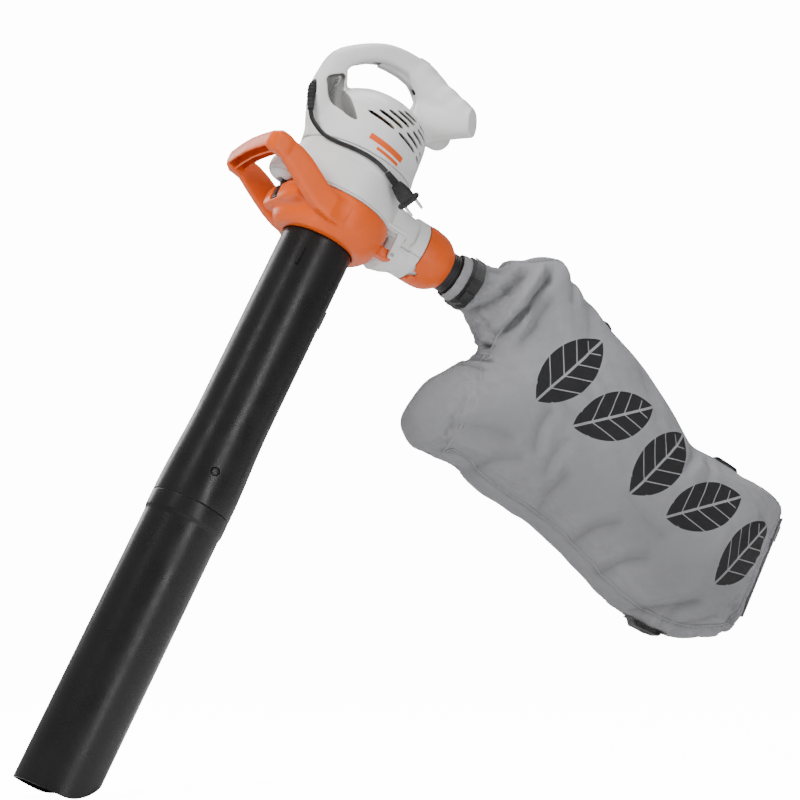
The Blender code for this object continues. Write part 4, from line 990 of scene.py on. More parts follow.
def bearing_bridge():
    hub = [(12.6, 197.8), (12.8, 208.6), (5.2, 208.6), (5.2, 207.5), (8.4, 207.3), (8.4, 197.8)]
    lathe("bearing_bridge_hub", filleted(hub, 0.4), DARK, "machine", "bearing_bridge", steps=64)
    for side, name in ((-1, "l"), (1, "r")):
        x0, x1 = sorted((side * 12.0, side * 41.0))
        block("bearing_bridge_bar_" + name, (x0, -10.5, 198), (x1, 10.5, 203.6), DARK, "machine",
              bevel=0.8, segments=2)


def motor_covers():
    """Two half shells that meet on the x-z plane."""
    axes, (X, Y, Z) = grid((-132, -97, 96), (145, 97, 312), MOTOR_STEP)
    outer = turned_sdf(DOME, X, Y, Z).astype(np.float32)
    outer = smin(outer, handle_field(axes, X, Y, Z), 8.0)
    R = np.sqrt(X * X + Y * Y)
    inner = outer + MOTOR_WALL
    inner = np.maximum(inner, np.minimum(R - 85.0, 119.0 - Z))
    # the recess floor slopes deeper with x
    floor_y = -6.0 - np.maximum(X + 90, 0)
    recess = side_sdf(axes, catmull(POCKET + POCKET[:1], 4)).astype(np.float32) * 0.97
    pocket = smax(recess, Y - floor_y, 1.5)
    inner = np.maximum(inner, -(pocket - 2.8))
    pivot_x, pivot_z = TRIGGER_PIVOT
    for side, name in SIDES:
        V = np.maximum(outer, -inner)
        V = np.maximum(V, 100.3 - Z)
        V = np.maximum(V, 0.15 - side * Y)
        if side < 0:
            V = smax(V, -pocket, 0.8)
        # screw bosses inside, running out from the plane y = 0.8
        for x, z in SCREWS:
            boss = np.maximum(np.sqrt((X - x) ** 2 + (Z - z) ** 2) - 5.2,
                              np.maximum(side * (0.8 - Y), side * Y - 19))
            V = np.minimum(V, np.maximum(boss, outer).astype(np.float32))
        if side < 0:
            part = slice(0, index_at(axes[1], MOTOR_STEP, 1.5) + 2)
        else:
            part = slice(index_at(axes[1], MOTOR_STEP, -1.5) - 1, None)
        ob = from_field("motor_cover_" + name, V[:, part, :], [axes[0], axes[1][part], axes[2]],
                        MOTOR_STEP, HOUSING, "machine", "motor_housing_" + name)
        # vents, trigger well, lock button slot, boot hole, trigger pin hole
        tools = [vent_tool(side),
                 box_mesh((-46, -7.2, 243), (36, 7.2, 276)),
                 box_mesh((16.5, -6.3, 294), (37.5, 6.3, 318)),
                 ring_mesh(swept(catmull(BOOT, 3), grow=0.5, tail=1.0)),
                 cylinder_mesh((pivot_x, -12.4, pivot_z), (pivot_x, 12.4, pivot_z), 2.0)]
        for x, z in SCREWS:
            if side < 0:
                tools.append(cylinder_mesh((x, 5, z), (x, -13, z), 1.9, 20))
            else:
                tools += [cylinder_mesh((x, -5, z), (x, 40, z), 2.2, 20),
                          cylinder_mesh((x, 12, z), (x, 45, z), 4.6)]
        carve(ob, tools)
        sharpen(ob, 48)


# ------------------------------------------------------------------ fan housing
FAN_STEP = 1.5
PAN_BOTTOM = 27.0
DUCT_END = 186
INLET_RADIUS = 52.9
HINGE_AXIS = ((96, -60, -6), (96, 0, -6))
# duct stations: x, centre y, centre z, half width y, half height z, exponent
DUCT = [(30, 46, 64.5, 46, 34, 6.0), (86, 46, 64.5, 47.6, 34.8, 5.0),
        (92, 45.4, 56, 48, 41, 4.0), (98, 44.6, 46.5, 48, 49, 3.2),
        (108, 43.4, 43, 47.6, 51, 2.8), (126, 42, 44.5, 45.2, 48, 2.5),
        (144, 40.5, 48, 42.3, 43.2, 2.15), (153, OUTLET_Y, OUTLET_Z, 40.5, 40.5, 2.0),
        (200, OUTLET_Y, OUTLET_Z, 40.5, 40.5, 2.0)]
# hinge ear: x, z
HINGE_EAR = [(68, 27), (90.5, 27), (90.5, -9), (93, -12), (99, -12), (102, -8), (104, 20),
             (104, 38), (68, 38)]


def fan_housing():
    """Spiral pan with its outlet duct, split across z into an upper and a lower shell."""
    axes, (X, Y, Z) = grid((-126, -99, -14), (191, 99, 104), FAN_STEP)
    centre_y, centre_z, half_y, half_z, e = columns_along_x(axes, DUCT)

    def duct(grow):
        a, b = half_y + grow, half_z + grow
        section = (np.abs((Y - centre_y) / a) ** e + np.abs((Z - centre_z) / b) ** e) ** (1 / e)
        return (section - 1) * np.minimum(a, b)

    R = np.sqrt(X * X + Y * Y)
    turn = np.degrees(np.mod(np.arctan2(-Y, X), 2 * math.pi))
    spiral = 86.5 + 7.5 * np.minimum(turn / 270, 1.0)
    spiral = np.where(turn > 270, spiral - 7.5 * (turn - 270) / 90, spiral)
    pan = smax(smax(R - spiral, Z - 100, 16.0), PAN_BOTTOM - Z, 0)
    shell = smin(pan, np.maximum(np.maximum(duct(0.0), 30 - X), X - DUCT_END), 5.0)
    # guard against the blend lifting the flat underside of the pan
    shell = np.where(X < 84, np.maximum(shell, PAN_BOTTOM - Z), shell)

    boss = blob_sdf((-84, 0, 42), (36, 29, 21.5), 2.7, X, Y, Z)
    boss = np.maximum(boss, -np.maximum(R - 89.4, Z - 26.95))
    shell = smin(shell, boss, 4.0)
    ear = side_sdf(axes, HINGE_EAR)
    for y in (-47.3, -12.7):
        shell = np.minimum(shell, np.maximum(ear, np.abs(Y - y) - 3.6))
    # five ribs and two rails round the duct
    for k in range(5):
        rib = np.maximum(np.maximum(np.abs(X - (112 + 11 * k)) - 1.5, duct(3.0)),
                         np.maximum(Z - 44 + 0.2 * k, np.maximum(33 - Z, Y - 20)))
        shell = smin(shell, rib, 1.5)
    for z in (34.0, 26.5):
        rail = np.maximum(np.maximum(np.abs(Z - z) - 1.7, duct(2.4)),
                          np.maximum(100 - X, X - 172))
        shell = smin(shell, rail, 1.0)
    from_outlet = np.sqrt((Y - OUTLET_Y) ** 2 + (Z - OUTLET_Z) ** 2)
    collar = smax(from_outlet - 48.0, np.maximum(136 - X, X - 155.9), 1.6)
    shell = smin(shell, collar, 2.5)
    spigot = np.maximum(from_outlet - 43.7, np.maximum(150 - X, X - 175.5))
    shell = np.minimum(shell, spigot)
    top_rim = np.maximum(R - 90.2, np.maximum(78 - Z, Z - 99.9))
    shell = smin(shell, top_rim, 3.0)

    cavity = np.maximum(smax(R - spiral + 3.2, Z - 97, 12.0), 30.02 - Z)
    shell = np.maximum(shell, -cavity)
    shell = np.maximum(shell, -np.maximum(duct(-3.0), 33 - X))
    # shaft collar and its hole, then the latch slot
    shell = np.minimum(shell, np.maximum(R - 15, np.abs(Z - 100.5) - 4.5))
    shell = np.maximum(shell, -(R - 11.4))
    shell = np.maximum(shell, -box_sdf((-99.5, -8, 10), (-86, 8, 31), 0.0, X, Y, Z))
    shell = np.maximum(shell, X - DUCT_END)

    upper = np.maximum(shell, 30.25 - Z)
    lower = np.maximum(np.maximum(shell, Z - 29.95), -(R - INLET_RADIUS))
    for name, V, part in (
            ("upper", upper, slice(index_at(axes[2], FAN_STEP, 28), None)),
            ("lower", lower, slice(0, index_at(axes[2], FAN_STEP, 32) + 1))):
        ob = from_field("fan_shell_" + name, V[:, :, part], [axes[0], axes[1], axes[2][part]],
                        FAN_STEP, HOUSING, "machine", "fan_housing_" + name)
        if name == "lower":
            carve(ob, [cylinder_mesh(*HINGE_AXIS, 3.2)])
        sharpen(ob, 50)


# ------------------------------------------------------------------ intake ring
RING_STEP = 1.15
RING_TOP = 26.6
# half profile: r, z, fillet
RING_PROFILE = [(86.8, RING_TOP, 1), (88.6, 23, 3), (88.8, 10, 8), (85.4, -12, 10), (78, -27, 10),
                (67.5, -36, 5), (61, -37.4, 2), (0, -37.4, 0), (0, RING_TOP, 0)]
# side arms of the bail: x, distance from y = 0, centre z, half height, half thickness
BAIL_ARMS = [(-146, 85, 39, 15, 7.8), (-130, 85, 35.8, 16.6, 7.8), (-112, 85, 29.5, 20.5, 7.8),
             (-92, 84.5, 21, 22.5, 8.2), (-72, 83, 11, 22.5, 9.3), (-52, 80.5, 2, 21, 10.8),
             (-30, 79, -3, 20, 11.5), (-8, 76, -5, 17, 10)]
# cross bar of the bail at distances from y = 0
BAR_DISTANCE = (0, 40, 80, 93)
BAR_X = (-150, -149, -147, -144)
BAR_Z = (42, 41, 39, 38.5)
BAR_HALF = 15.5


def intake_ring():
    """Ring under the fan housing, with a bail handle towards negative x."""
    axes, (X, Y, Z) = grid((-168, -97, -41), (109, 97, 62), RING_STEP)
    R = np.sqrt(X * X + Y * Y)
    V = turned_sdf(filleted(RING_PROFILE, n=5), X, Y, Z).astype(np.float32)
    arm_y, arm_z, half_h, half_t = columns_along_x(axes, BAIL_ARMS)
    for side in (-1, 1):
        section = ((np.abs((Y - side * arm_y) / half_t)) ** 6
                   + (np.abs((Z - arm_z) / half_h)) ** 6) ** (1 / 6)
        arm = smax((section - 1) * half_t, np.maximum(-150 - X, X + 6), 3.0)
        V = smin(V, arm.astype(np.float32), 5.0)
    skirt = blob_sdf((-72, 0, 2), (23, 63, 18), 3.4, X, Y, Z)
    V = smin(V, np.maximum(skirt, Z - 19.5).astype(np.float32), 5.0)

    distance = np.abs(axes[1].astype(float))
    bar_x = np.interp(distance, BAR_DISTANCE, BAR_X)[None, :, None]
    bar_z = np.interp(distance, BAR_DISTANCE, BAR_Z)[None, :, None]
    bar = ((np.abs((X - bar_x) / BAR_HALF) ** 3
            + np.abs((Z - bar_z) / BAR_HALF) ** 3) ** (1 / 3) - 1) * BAR_HALF
    bar = smax(bar, np.abs(Y) - 92.5, 8.0)
    V = smin(V, bar.astype(np.float32), 6.0)
    # hollow channel under the bar, with a rib down its middle
    channel = np.maximum(np.maximum(np.abs(X - bar_x - 0.5) - 11.5, Z - bar_z - 4.5),
                         np.abs(Y) - 74)
    channel = np.maximum(channel, -(np.maximum(np.abs(X - bar_x - 1.0) - 1.5, Z - 70)))
    V = smax(V, -channel.astype(np.float32), 1.6)

    # hollow inside the ring, open at the top
    room_outer = np.interp(Z, (-30.4, -29.4, -22.4, -11, 4, 60),
                           (59.9, 67.0, 74.0, 80.6, 84.0, 84.0))
    room_inner = np.interp(Z, (-30.4, 16, RING_TOP, 60), (59.6, 59.6, 56.4, 56.4))
    room = np.maximum(np.maximum(R - room_outer, room_inner - R), -30.0 - Z)
    V = np.maximum(V, -room.astype(np.float32))
    bore = np.where(Z < -5.5, R - 56.0, R - INLET_RADIUS)
    V = np.maximum(V, -bore.astype(np.float32))
    V = np.where(R < 88.9, np.maximum(V, Z - RING_TOP), V)
    hinge_lug = blob_sdf((89, -30, -5.5), (13.5, 12.6, 8.5), 4.0, X, Y, Z)
    V = np.minimum(V, np.maximum(hinge_lug, 84.3 - R).astype(np.float32))
    # latch pocket and the slot above it
    for lo, hi, r in (((-104, -14, -9), (-80, 14, 19.5), 1), ((-104, -9.5, 15), (-80, 9.5, 60), 0.0)):
        V = np.maximum(V, -box_sdf(lo, hi, r, X, Y, Z).astype(np.float32))
    ob = from_field("intake_ring", V.astype(np.float32), axes, RING_STEP, ORANGE, "suction_set",
                    "intake_ring_with_bail")
    carve(ob, [cylinder_mesh(*HINGE_AXIS, 3.3)])
    sharpen(ob, 50)


def tube_latch():
    block("tube_latch_slide", (-93.0, -12.5, -7.5), (-84.4, 12.5, 14.5), DARK, "latch",
          "tube_latch", bevel=1.2)
    block("tube_latch_tongue", (-91.6, -7, 12), (-86.6, 7, 29), DARK, "latch", bevel=0.8)
    for k in range(4):
        block("tube_latch_rib_%d" % k, (-94.4, -9, -4.5 + 4 * k), (-92.2, 9, -2.7 + 4 * k), DARK,
              "latch", bevel=0.5)


# ------------------------------------------------------------------ suction tubes
SNAP_ANGLE = math.radians(7.0)        # from negative y towards negative x
SNAP_AXIS = np.array([-math.sin(SNAP_ANGLE), -math.cos(SNAP_ANGLE), 0.0])
SNAP_CENTRE = np.array((0, 0, -428.0))
# wall profiles: r, z, fillet
UPPER_TUBE = [(55.4, -8, 1), (55.4, -340, 6), (56.6, -376, 20), (58.3, -408, 20),
              (59.5, -438, 20), (60.0, -456, 8), (60.0, -477, 0.8), (59.2, -478, 0.6),
              (56.1, -478, 0.5), (56.1, -395, 1), (52.8, -390, 1), (52.8, -8, 1)]
LOWER_TUBE = [(54.7, -398, 0.5), (55.5, -400, 0.5), (55.5, -478.3, 0.6), (59.4, -478.3, 0.5),
              (60.0, -479.5, 0.8), (60.0, -502, 2), (58.2, -508, 3), (58.8, -975, 1),
              (55.8, -975, 1), (55.4, -512, 3), (52.7, -500, 3), (52.7, -398, 0.6)]
# button profile along the snap axis: r, distance from the tube's axis, fillet
SNAP_BUTTON = [(0.6, 49.6, 0), (8.0, 49.6, 0.4), (8.0, 51.4, 0.4), (6.0, 51.4, 0.3),
               (6.0, 57.2, 1.0), (4.2, 57.5, 0.4), (3.6, 56.7, 0.4), (0.6, 56.7, 0)]
# edge of the slanted mouth: x, z
MOUTH = [(-80, -930), (-40, -930), (-4, -930), (8, -928.6), (18, -925), (28, -919), (38, -911),
         (48, -900.5), (60, -886), (80, -860)]


def snap_bore(start, end, radius):
    return cylinder_mesh(SNAP_CENTRE + SNAP_AXIS * start, SNAP_CENTRE + SNAP_AXIS * end, radius,
                         48)


def upper_tube():
    ob = lathe("upper_tube", filleted(UPPER_TUBE), TUBE, "suction_set", "upper_suction_tube",
               steps=128)
    arrow_angle = math.radians(-34)
    carve(ob, [spin(box_mesh((-2.0, -57.6, -86), (2.0, -53.5, -64)), arrow_angle),
               spin(box_mesh((-1.6, -58.4, -94), (1.6, -53.5, -84)), arrow_angle),
               box_mesh((52.6, -5, -150), (58.4, 5, -122))], 'UNION')
    # button hole with a groove running through it to the end
    carve(ob, [snap_bore(48, 66, 6.9),
               spin(box_mesh((-6.9, -57.9, -482), (6.9, -50, -424)), -SNAP_ANGLE)])
    sharpen(ob, 30)


def lower_tube():
    ob = lathe("lower_tube_shell", filleted(LOWER_TUBE), TUBE, "lower_tube", "lower_suction_tube",
               steps=128)
    outline = [tuple(p) for p in catmull(MOUTH, 6)] + [(80, -1010), (-80, -1010)]
    carve(ob, [prism(outline, -90, 90), snap_bore(46, 60, 6.4)])
    sharpen(ob, 30)


def along_snap(points):
    """Maps lathe coordinates so that their z runs along the snap axis."""
    d = unit(SNAP_AXIS)
    side = unit(np.cross(d, (0, 0, 1)))
    up = np.cross(d, side)
    return SNAP_CENTRE[None] + points[:, :1] * up + points[:, 1:2] * (-side) + points[:, 2:] * d


def snap_button():
    lathe("snap_button_cap", filleted(SNAP_BUTTON), TUBE, "snap", "snap_button", steps=48,
          place=along_snap)


# ------------------------------------------------------------------ outlet coupling, adapter, strap
# profiles round the outlet axis: r, x, fillet
COUPLING = [(32.8, 212.5, 0.8), (35.0, 209.5, 2), (39.5, 204, 6), (44.2, 196, 8), (46.8, 187, 8),
            (48.0, 177, 6), (48.2, 157, 0.8), (44.8, 157, 0.5), (44.8, 178, 4), (43.5, 188, 3),
            (41.8, 193.5, 2), (37, 199.5, 2), (32.2, 202.5, 1), (32.2, 212.5, 0.6)]
STRAP = [(39.3, 243.5), (40.4, 249), (40.0, 256), (40.6, 261), (39.6, 266.5), (37.9, 266.5),
         (37.2, 255), (37.2, 243.5)]
STRAP_CENTRE_X = 257
BUCKLE_ANGLE = math.radians(135)


def coupling():
    ob = lathe("coupling_ring", filleted(COUPLING), ORANGE, "coupling", "outlet_coupling",
               steps=180, place=outlet)
    # notch and shallow step in the rim
    carve(ob, [in_outlet(box_mesh((30, -30, 150), (60, -13, 167))),
               in_outlet(box_mesh((30, -36, 150), (60, -29.5, 160)))])
    pad = box_mesh((47.6, -7, 159.5), (49.2, 7, 171))
    carve(ob, [in_outlet(spin(pad, math.radians(100 + 120 * k))) for k in range(3)], 'UNION')
    sharpen(ob, 30)


def bag_adapter():
    seal = [(39.5, 188.6), (39.5, 186.4), (34, 186.4), (34, 188.6)]
    lathe("outlet_seal_ring", filleted(seal, 0.5), RUBBER, "adapter", "outlet_seal", place=outlet)
    inner_r, outer_r, ridge_r = 29.2, 31.6, 32.3
    profile = [(inner_r, 262), (outer_r, 262)]
    for x in (224, 219.5, 215):
        profile += [(outer_r, x + 2.6), (ridge_r, x + 2.0), (ridge_r, x + 0.8), (outer_r, x + 0.2)]
    profile += [(outer_r, 194.5), (40.5, 192.5), (40.5, 189), (inner_r, 189)]
    lathe("adapter_spigot", filleted(profile[::-1], 0.4), DARK, "adapter", "bag_adapter",
          place=outlet)


def neck_strap():
    phase = np.random.default_rng(7).uniform(0, 6.28, 8)
    # waves round the strap: count, height
    waves = ((3, 0.5), (5, 0.55), (8, 0.5), (13, 0.5), (21, 0.36), (33, 0.22))

    def crinkle(a, z):
        w = 0
        for k, (count, height) in enumerate(waves):
            w = w + height * np.sin(count * a + phase[k] + 0.11 * z * (k + 1))
        return np.clip(w * 0.9 + 0.9, 0, 2.9)

    lathe("strap_band", filleted(STRAP, 0.7), WEB, "bag", "neck_strap", steps=220, place=outlet,
          wobble=crinkle)
    # the strap's free end, lapped over itself and lifting off at the tip
    lap = []
    for k in range(26):
        a = math.radians(196 + 4.6 * k)
        r = 42.2 + 0.6 * math.sin(k * 0.9) + (1.5 if k > 20 else 0) * (k - 20) / 5
        lap.append((r * math.cos(a), r * math.sin(a), STRAP_CENTRE_X + 1.2 * math.sin(k * 0.5)))
    tube_along("strap_free_end", outlet(np.array(lap)), 9.0, 0.9, WEB, "bag", flat=True,
               up=(1, 0, 0))

    def turn(points):
        c, s = math.cos(BUCKLE_ANGLE), math.sin(BUCKLE_ANGLE)
        x, y, z = points.T
        return np.stack([x, OUTLET_Y + (y * c - z * s), OUTLET_Z + (y * s + z * c)], -1)

    block("strap_slide_buckle", (247, -11.5, 41.0), (263, 11.5, 45.4), DARK, "bag",
          "strap_buckle", bevel=1.1, turn=turn)


# ------------------------------------------------------------------ cable, boot, plug
def around(r, degrees, z):
    """Point at radius r, turned from negative x towards negative y."""
    a = math.radians(degrees)
    return (-r * math.cos(a), -r * math.sin(a), z)


# cable stations: radius, degrees, z for around()
CABLE = [(104.5, 15.5, 119), (99.8, 24, 107), (96.6, 31, 100), (94.9, 38, 96), (94.4, 50, 92.5),
         (94.2, 64, 92), (94.4, 79.5, 91), (95.2, 91, 88.5), (96.8, 100.5, 84.5)]
BOOT_END = np.array((-107.5, -21.5, 132.5))
BOOT_END_DIRECTION = unit((4.5, -4.0, -12.5))
PLUG_START = np.array(around(97.2, 101.6, 84.0))
PLUG_AXIS = unit((0.93, 0.10, -0.33))
PLUG_SIDE = unit(np.cross(PLUG_AXIS, (-0.337, -0.903, -0.267)))
PLUG_UP = np.cross(PLUG_SIDE, PLUG_AXIS)
# plug body beyond its ribs: distance, half size sideways, half size up, exponent
PLUG_BODY = [(21.6, 6.6, 6.4, 2.2), (23, 8.4, 7.4, 2.2), (31, 10.6, 8.6, 2.4),
             (43, 12.5, 9.5, 2.6), (49.4, 12.2, 9.9, 2.8), (50.6, 13.2, 10.9, 2.6),
             (51.4, 17.4, 13.6, 2.2), (52.2, 18.4, 14.4, 2.2), (55.2, 18.5, 14.5, 2.2),
             (56.1, 17.9, 13.9, 2.2), (56.5, 17.0, 13.0, 2.2)]
PLUG_PIN = [(0, 2.4), (17.2, 2.4), (18.4, 2.1), (19.0, 1.4)]      # distance, radius
HOOK = [(-92, -22.8, 196), (-92, -30, 198), (-91, -34.5, 193), (-90, -33, 186), (-91, -29, 183)]


def cable_boot():
    rows = catmull(BOOT, 8)
    ribs_from, rib_pitch, groove = 0.42, 0.072, 0.9
    for i, row in enumerate(rows):
        t = i / (len(rows) - 1)
        if t > ribs_from and 0.5 + 0.5 * math.cos(2 * math.pi * (t - ribs_from) / rib_pitch) > 0.55:
            row[3:] -= groove
    loft("cable_boot_ribbed", swept(rows), RUBBER, "machine", "cable_boot", n=28)


def power_cable():
    path = [tuple(BOOT_END - BOOT_END_DIRECTION * 6.5), tuple(BOOT_END + BOOT_END_DIRECTION * 3)]
    path += [around(*row) for row in CABLE]
    radius = 3.4
    tube_along("power_cable_cord", catmull(path, 12), radius, radius, RUBBER, "machine",
               "power_cable", n=18)


def mains_plug():
    stations = [(0, 3.8, 3.8, 2.2), (0.6, 4.4, 4.4, 2.2)]
    for k in range(6):
        d = 1.5 + 3.2 * k
        g = 4.5 + 0.28 * k
        for shift, grow in ((0, 0), (1.7, 0.1), (1.9, -0.8), (3.0, -0.8)):
            stations.append((d + shift, g + grow, g + grow, 2.2))
    rings = [(PLUG_START + PLUG_AXIS * d, PLUG_SIDE * a, PLUG_UP * b, e)
             for d, a, b, e in stations + PLUG_BODY]
    loft("mains_plug", rings, RUBBER, "machine", "plug_body", n=48)
    for side, name in ((-1, "a"), (1, "b")):
        base = PLUG_START + PLUG_AXIS * 56.8 + PLUG_SIDE * (side * 9.5)
        rings = [(base + PLUG_AXIS * d, PLUG_SIDE * r, PLUG_UP * r, 2.0) for d, r in PLUG_PIN]
        loft("mains_pin_" + name, rings, PIN, "machine", "plug_pin_" + name, n=24)


def cord_hook():
    radius = 2.0
    tube_along("cord_hook_bent", catmull(HOOK, 8), radius, radius, HOUSING, "machine",
               "cord_hook", n=16)


# ------------------------------------------------------------------ trigger and lock button
# trigger outline from its pivot: x, z
TRIGGER = [(5, 3), (2, 6), (-14, 8.5), (-34, 9), (-58, 8.5), (-63, 4), (-66, -5.5), (-50, -3),
           (-30, -2.2), (-14, -4), (-2, -6.5), (5, -5)]
# trigger layers across: y, how far the outline draws in
TRIGGER_LAYERS = ((-6.8, 1.3), (-6.3, 0.4), (-5.4, 0), (5.4, 0), (6.3, 0.4), (6.8, 1.3))


def trigger():
    pivot_x, pivot_z = TRIGGER_PIVOT
    P = filleted([(x + pivot_x, z + pivot_z) for x, z in TRIGGER], 3.0, n=5)
    n = len(P)
    to_middle = P.mean(0) - P
    to_middle /= np.maximum(np.linalg.norm(to_middle, axis=1), 1e-6)[:, None]
    rows = []
    for y, draw_in in TRIGGER_LAYERS:
        Q = P + to_middle * draw_in
        rows.append(np.stack([Q[:, 0], np.full(n, y), Q[:, 1]], 1))
    ob = mesh_object("finger_trigger", np.concatenate(rows), skin_faces(len(rows), n), TRIM,
                     "trigger", "trigger")
    face_outward(ob.data)
    carve(ob, [cylinder_mesh((pivot_x, -20, pivot_z), (pivot_x, 20, pivot_z), 1.9, 24)])
    sharpen(ob, 40)


def lock_button():
    block("lock_button_cap", (17, -6, 295), (37, 6, 309.4), TRIM, "lock_button", "lock_button",
          bevel=2.2, segments=4)


# ------------------------------------------------------------------ collecting bag
BAG_STEP = 3.2
BAG_END_X = 929.9
# side outline: x, z
OUTLINE = [
    (304, 117), (330, 135), (346, 147), (360, 158), (378, 164), (394, 160), (409, 149),
    (464, 131), (490, 122), (563, 99), (622, 75), (668, 53), (704, 31), (720, 23.5), (738, 22),
    (778, 22), (835, 21), (881, 18), (910, 12), (925, 4), (930, -8), (930, -30), (930, -73),
    (930, -120), (930, -165), (930, -194), (919, -216), (900, -240), (870, -259), (825, -280),
    (758, -288), (715, -288), (678, -280), (639, -269), (609, -260), (577, -252), (538, -243),
    (506, -240), (458, -238), (402, -232), (370, -222), (325, -221), (293, -216), (269, -205),
    (259, -190), (258, -170), (263, -137), (283, -92), (318, -46), (322, -24)]
# neck stations: x, centre y and z from the outlet axis, half width y, half height z
NECK = [(232, 0, 0, 35.0, 35.0), (265, 0, 0, 35.6, 35.6), (281, 0, -1, 38.5, 41),
        (300, 0, -1, 47, 52), (330, 0, 1, 60, 72), (352, 0, -5, 60, 84)]
# folds: line of (x, z), depth, width
FOLDS = [
    ([(262, 60), (276, 78), (300, 92)], 3.0, 6),
    ([(266, -2), (290, 28), (308, 64), (320, 96), (326, 116)], 7.0, 8),
    ([(322, -26), (331, 3), (339, 36), (346, 70), (356, 108), (366, 138)], 13.0, 9),
    ([(352, -30), (364, 20), (370, 62), (380, 96)], 4.5, 13),
    ([(296, -46), (314, -30), (334, -22)], 9.0, 6),
    ([(298, -60), (318, -50), (342, -46)], 6.5, 5),
    ([(286, -74), (312, -68), (336, -66)], 4.0, 5),
    ([(270, 20), (280, 34), (296, 44)], 3.0, 6),
    ([(268, -22), (286, -14), (304, 2)], 4.0, 6),
    ([(392, 140), (404, 112), (410, 84)], 3.2, 9),
    ([(430, 128), (452, 70), (470, 20)], 2.4, 16),
    ([(722, -286), (752, -268), (790, -240), (832, -208)], 4.6, 11),
    ([(800, -276), (842, -240), (868, -214)], 3.2, 10),
    ([(560, 84), (592, 36), (636, -8)], 2.2, 17),
    ([(884, -20), (858, -70), (852, -122)], 2.6, 13),
    ([(716, 14), (712, -18), (694, -60)], 4.6, 12),
    ([(738, 10), (746, -30), (738, -66)], 2.4, 12),
    ([(296, -186), (350, -158), (424, -146)], 2.4, 15),
    ([(380, -224), (400, -190), (446, -160)], 3.0, 12),
    ([(450, -60), (440, -110), (452, -160)], 3.4, 14),
    ([(498, -88), (480, -140), (486, -190)], 2.6, 13),
    ([(520, -232), (502, -196), (520, -140)], 2.6, 12),
    ([(586, -246), (596, -206), (640, -170)], 3.4, 12),
    ([(650, -268), (668, -226), (712, -196)], 3.6, 12),
    ([(420, -30), (470, -62), (530, -72)], 1.8, 18),
    ([(600, -120), (660, -150), (730, -160)], 2.0, 18),
    ([(886, -170), (900, -190), (918, -200)], 2.6, 9)]
# fine puckers: frequency along x, frequency along z, phase
PUCKERS = ((0.055, 0.031, 0.3), (0.024, -0.071, 1.9), (0.083, 0.052, 4.1), (-0.043, 0.094, 2.2),
           (0.13, 0.02, 0.8))


def bag_surface():
    axes, (X, Y, Z) = grid((229, -52, -302), (956, 132, 178), BAG_STEP)
    x, z = axes[0][:, None].astype(float), axes[2][None, :].astype(float)
    flat = side_sdf(axes, catmull(OUTLINE + OUTLINE[:1], 3)[:-1])
    depth = np.maximum(-flat[:, 0, :], 0)
    # soft bulge: thin at the edge seam, full in the middle, flatter towards the zip end
    full = 70 - 8 * np.clip((x - 700) / 240, 0, 1) + 0 * z
    half = 25 + (full - 25) * (1 - np.exp(-depth / 46.0))
    inland = np.clip(depth / 60, 0, 1)
    half = (half + 2.2 * np.sin(x / 37.0 + z / 61.0) * inland
            + 1.6 * np.sin(x / 23.0 - z / 29.0) * inland)
    end = np.clip((x - 800) / 130, 0, 1) ** 1.6 * np.clip((z + 225) / 40, 0, 1)
    half = half * (1 - end) + 19.0 * end
    body = smax(np.repeat(flat, len(axes[1]), 1).astype(np.float32),
                np.abs(Y - OUTLET_Y) - half[:, None, :].astype(np.float32), 20.0)

    neck_y, neck_z, half_y, half_z = columns_along_x(axes, NECK)
    neck = (np.sqrt(((Y - OUTLET_Y - neck_y) / half_y) ** 2
                    + ((Z - OUTLET_Z - neck_z) / half_z) ** 2) - 1) * np.minimum(half_y, half_z)
    theta = np.arctan2(Y - OUTLET_Y, Z - OUTLET_Z)
    x = axes[0].astype(float)[:, None, None]
    gather = np.clip((x - 262) / 14, 0, 1) * np.clip((345 - x) / 40, 0, 1)
    neck = neck + gather * (1.5 * np.sin(theta * 9 + 0.4)
                            + 1.1 * np.sin(theta * 14 + 1.7 + x * 0.02)
                            + 0.7 * np.sin(theta * 23 + 0.9))
    neck = np.maximum(neck, X - 352)
    return surface(smin(body, neck.astype(np.float32), 14.0), axes, BAG_STEP)


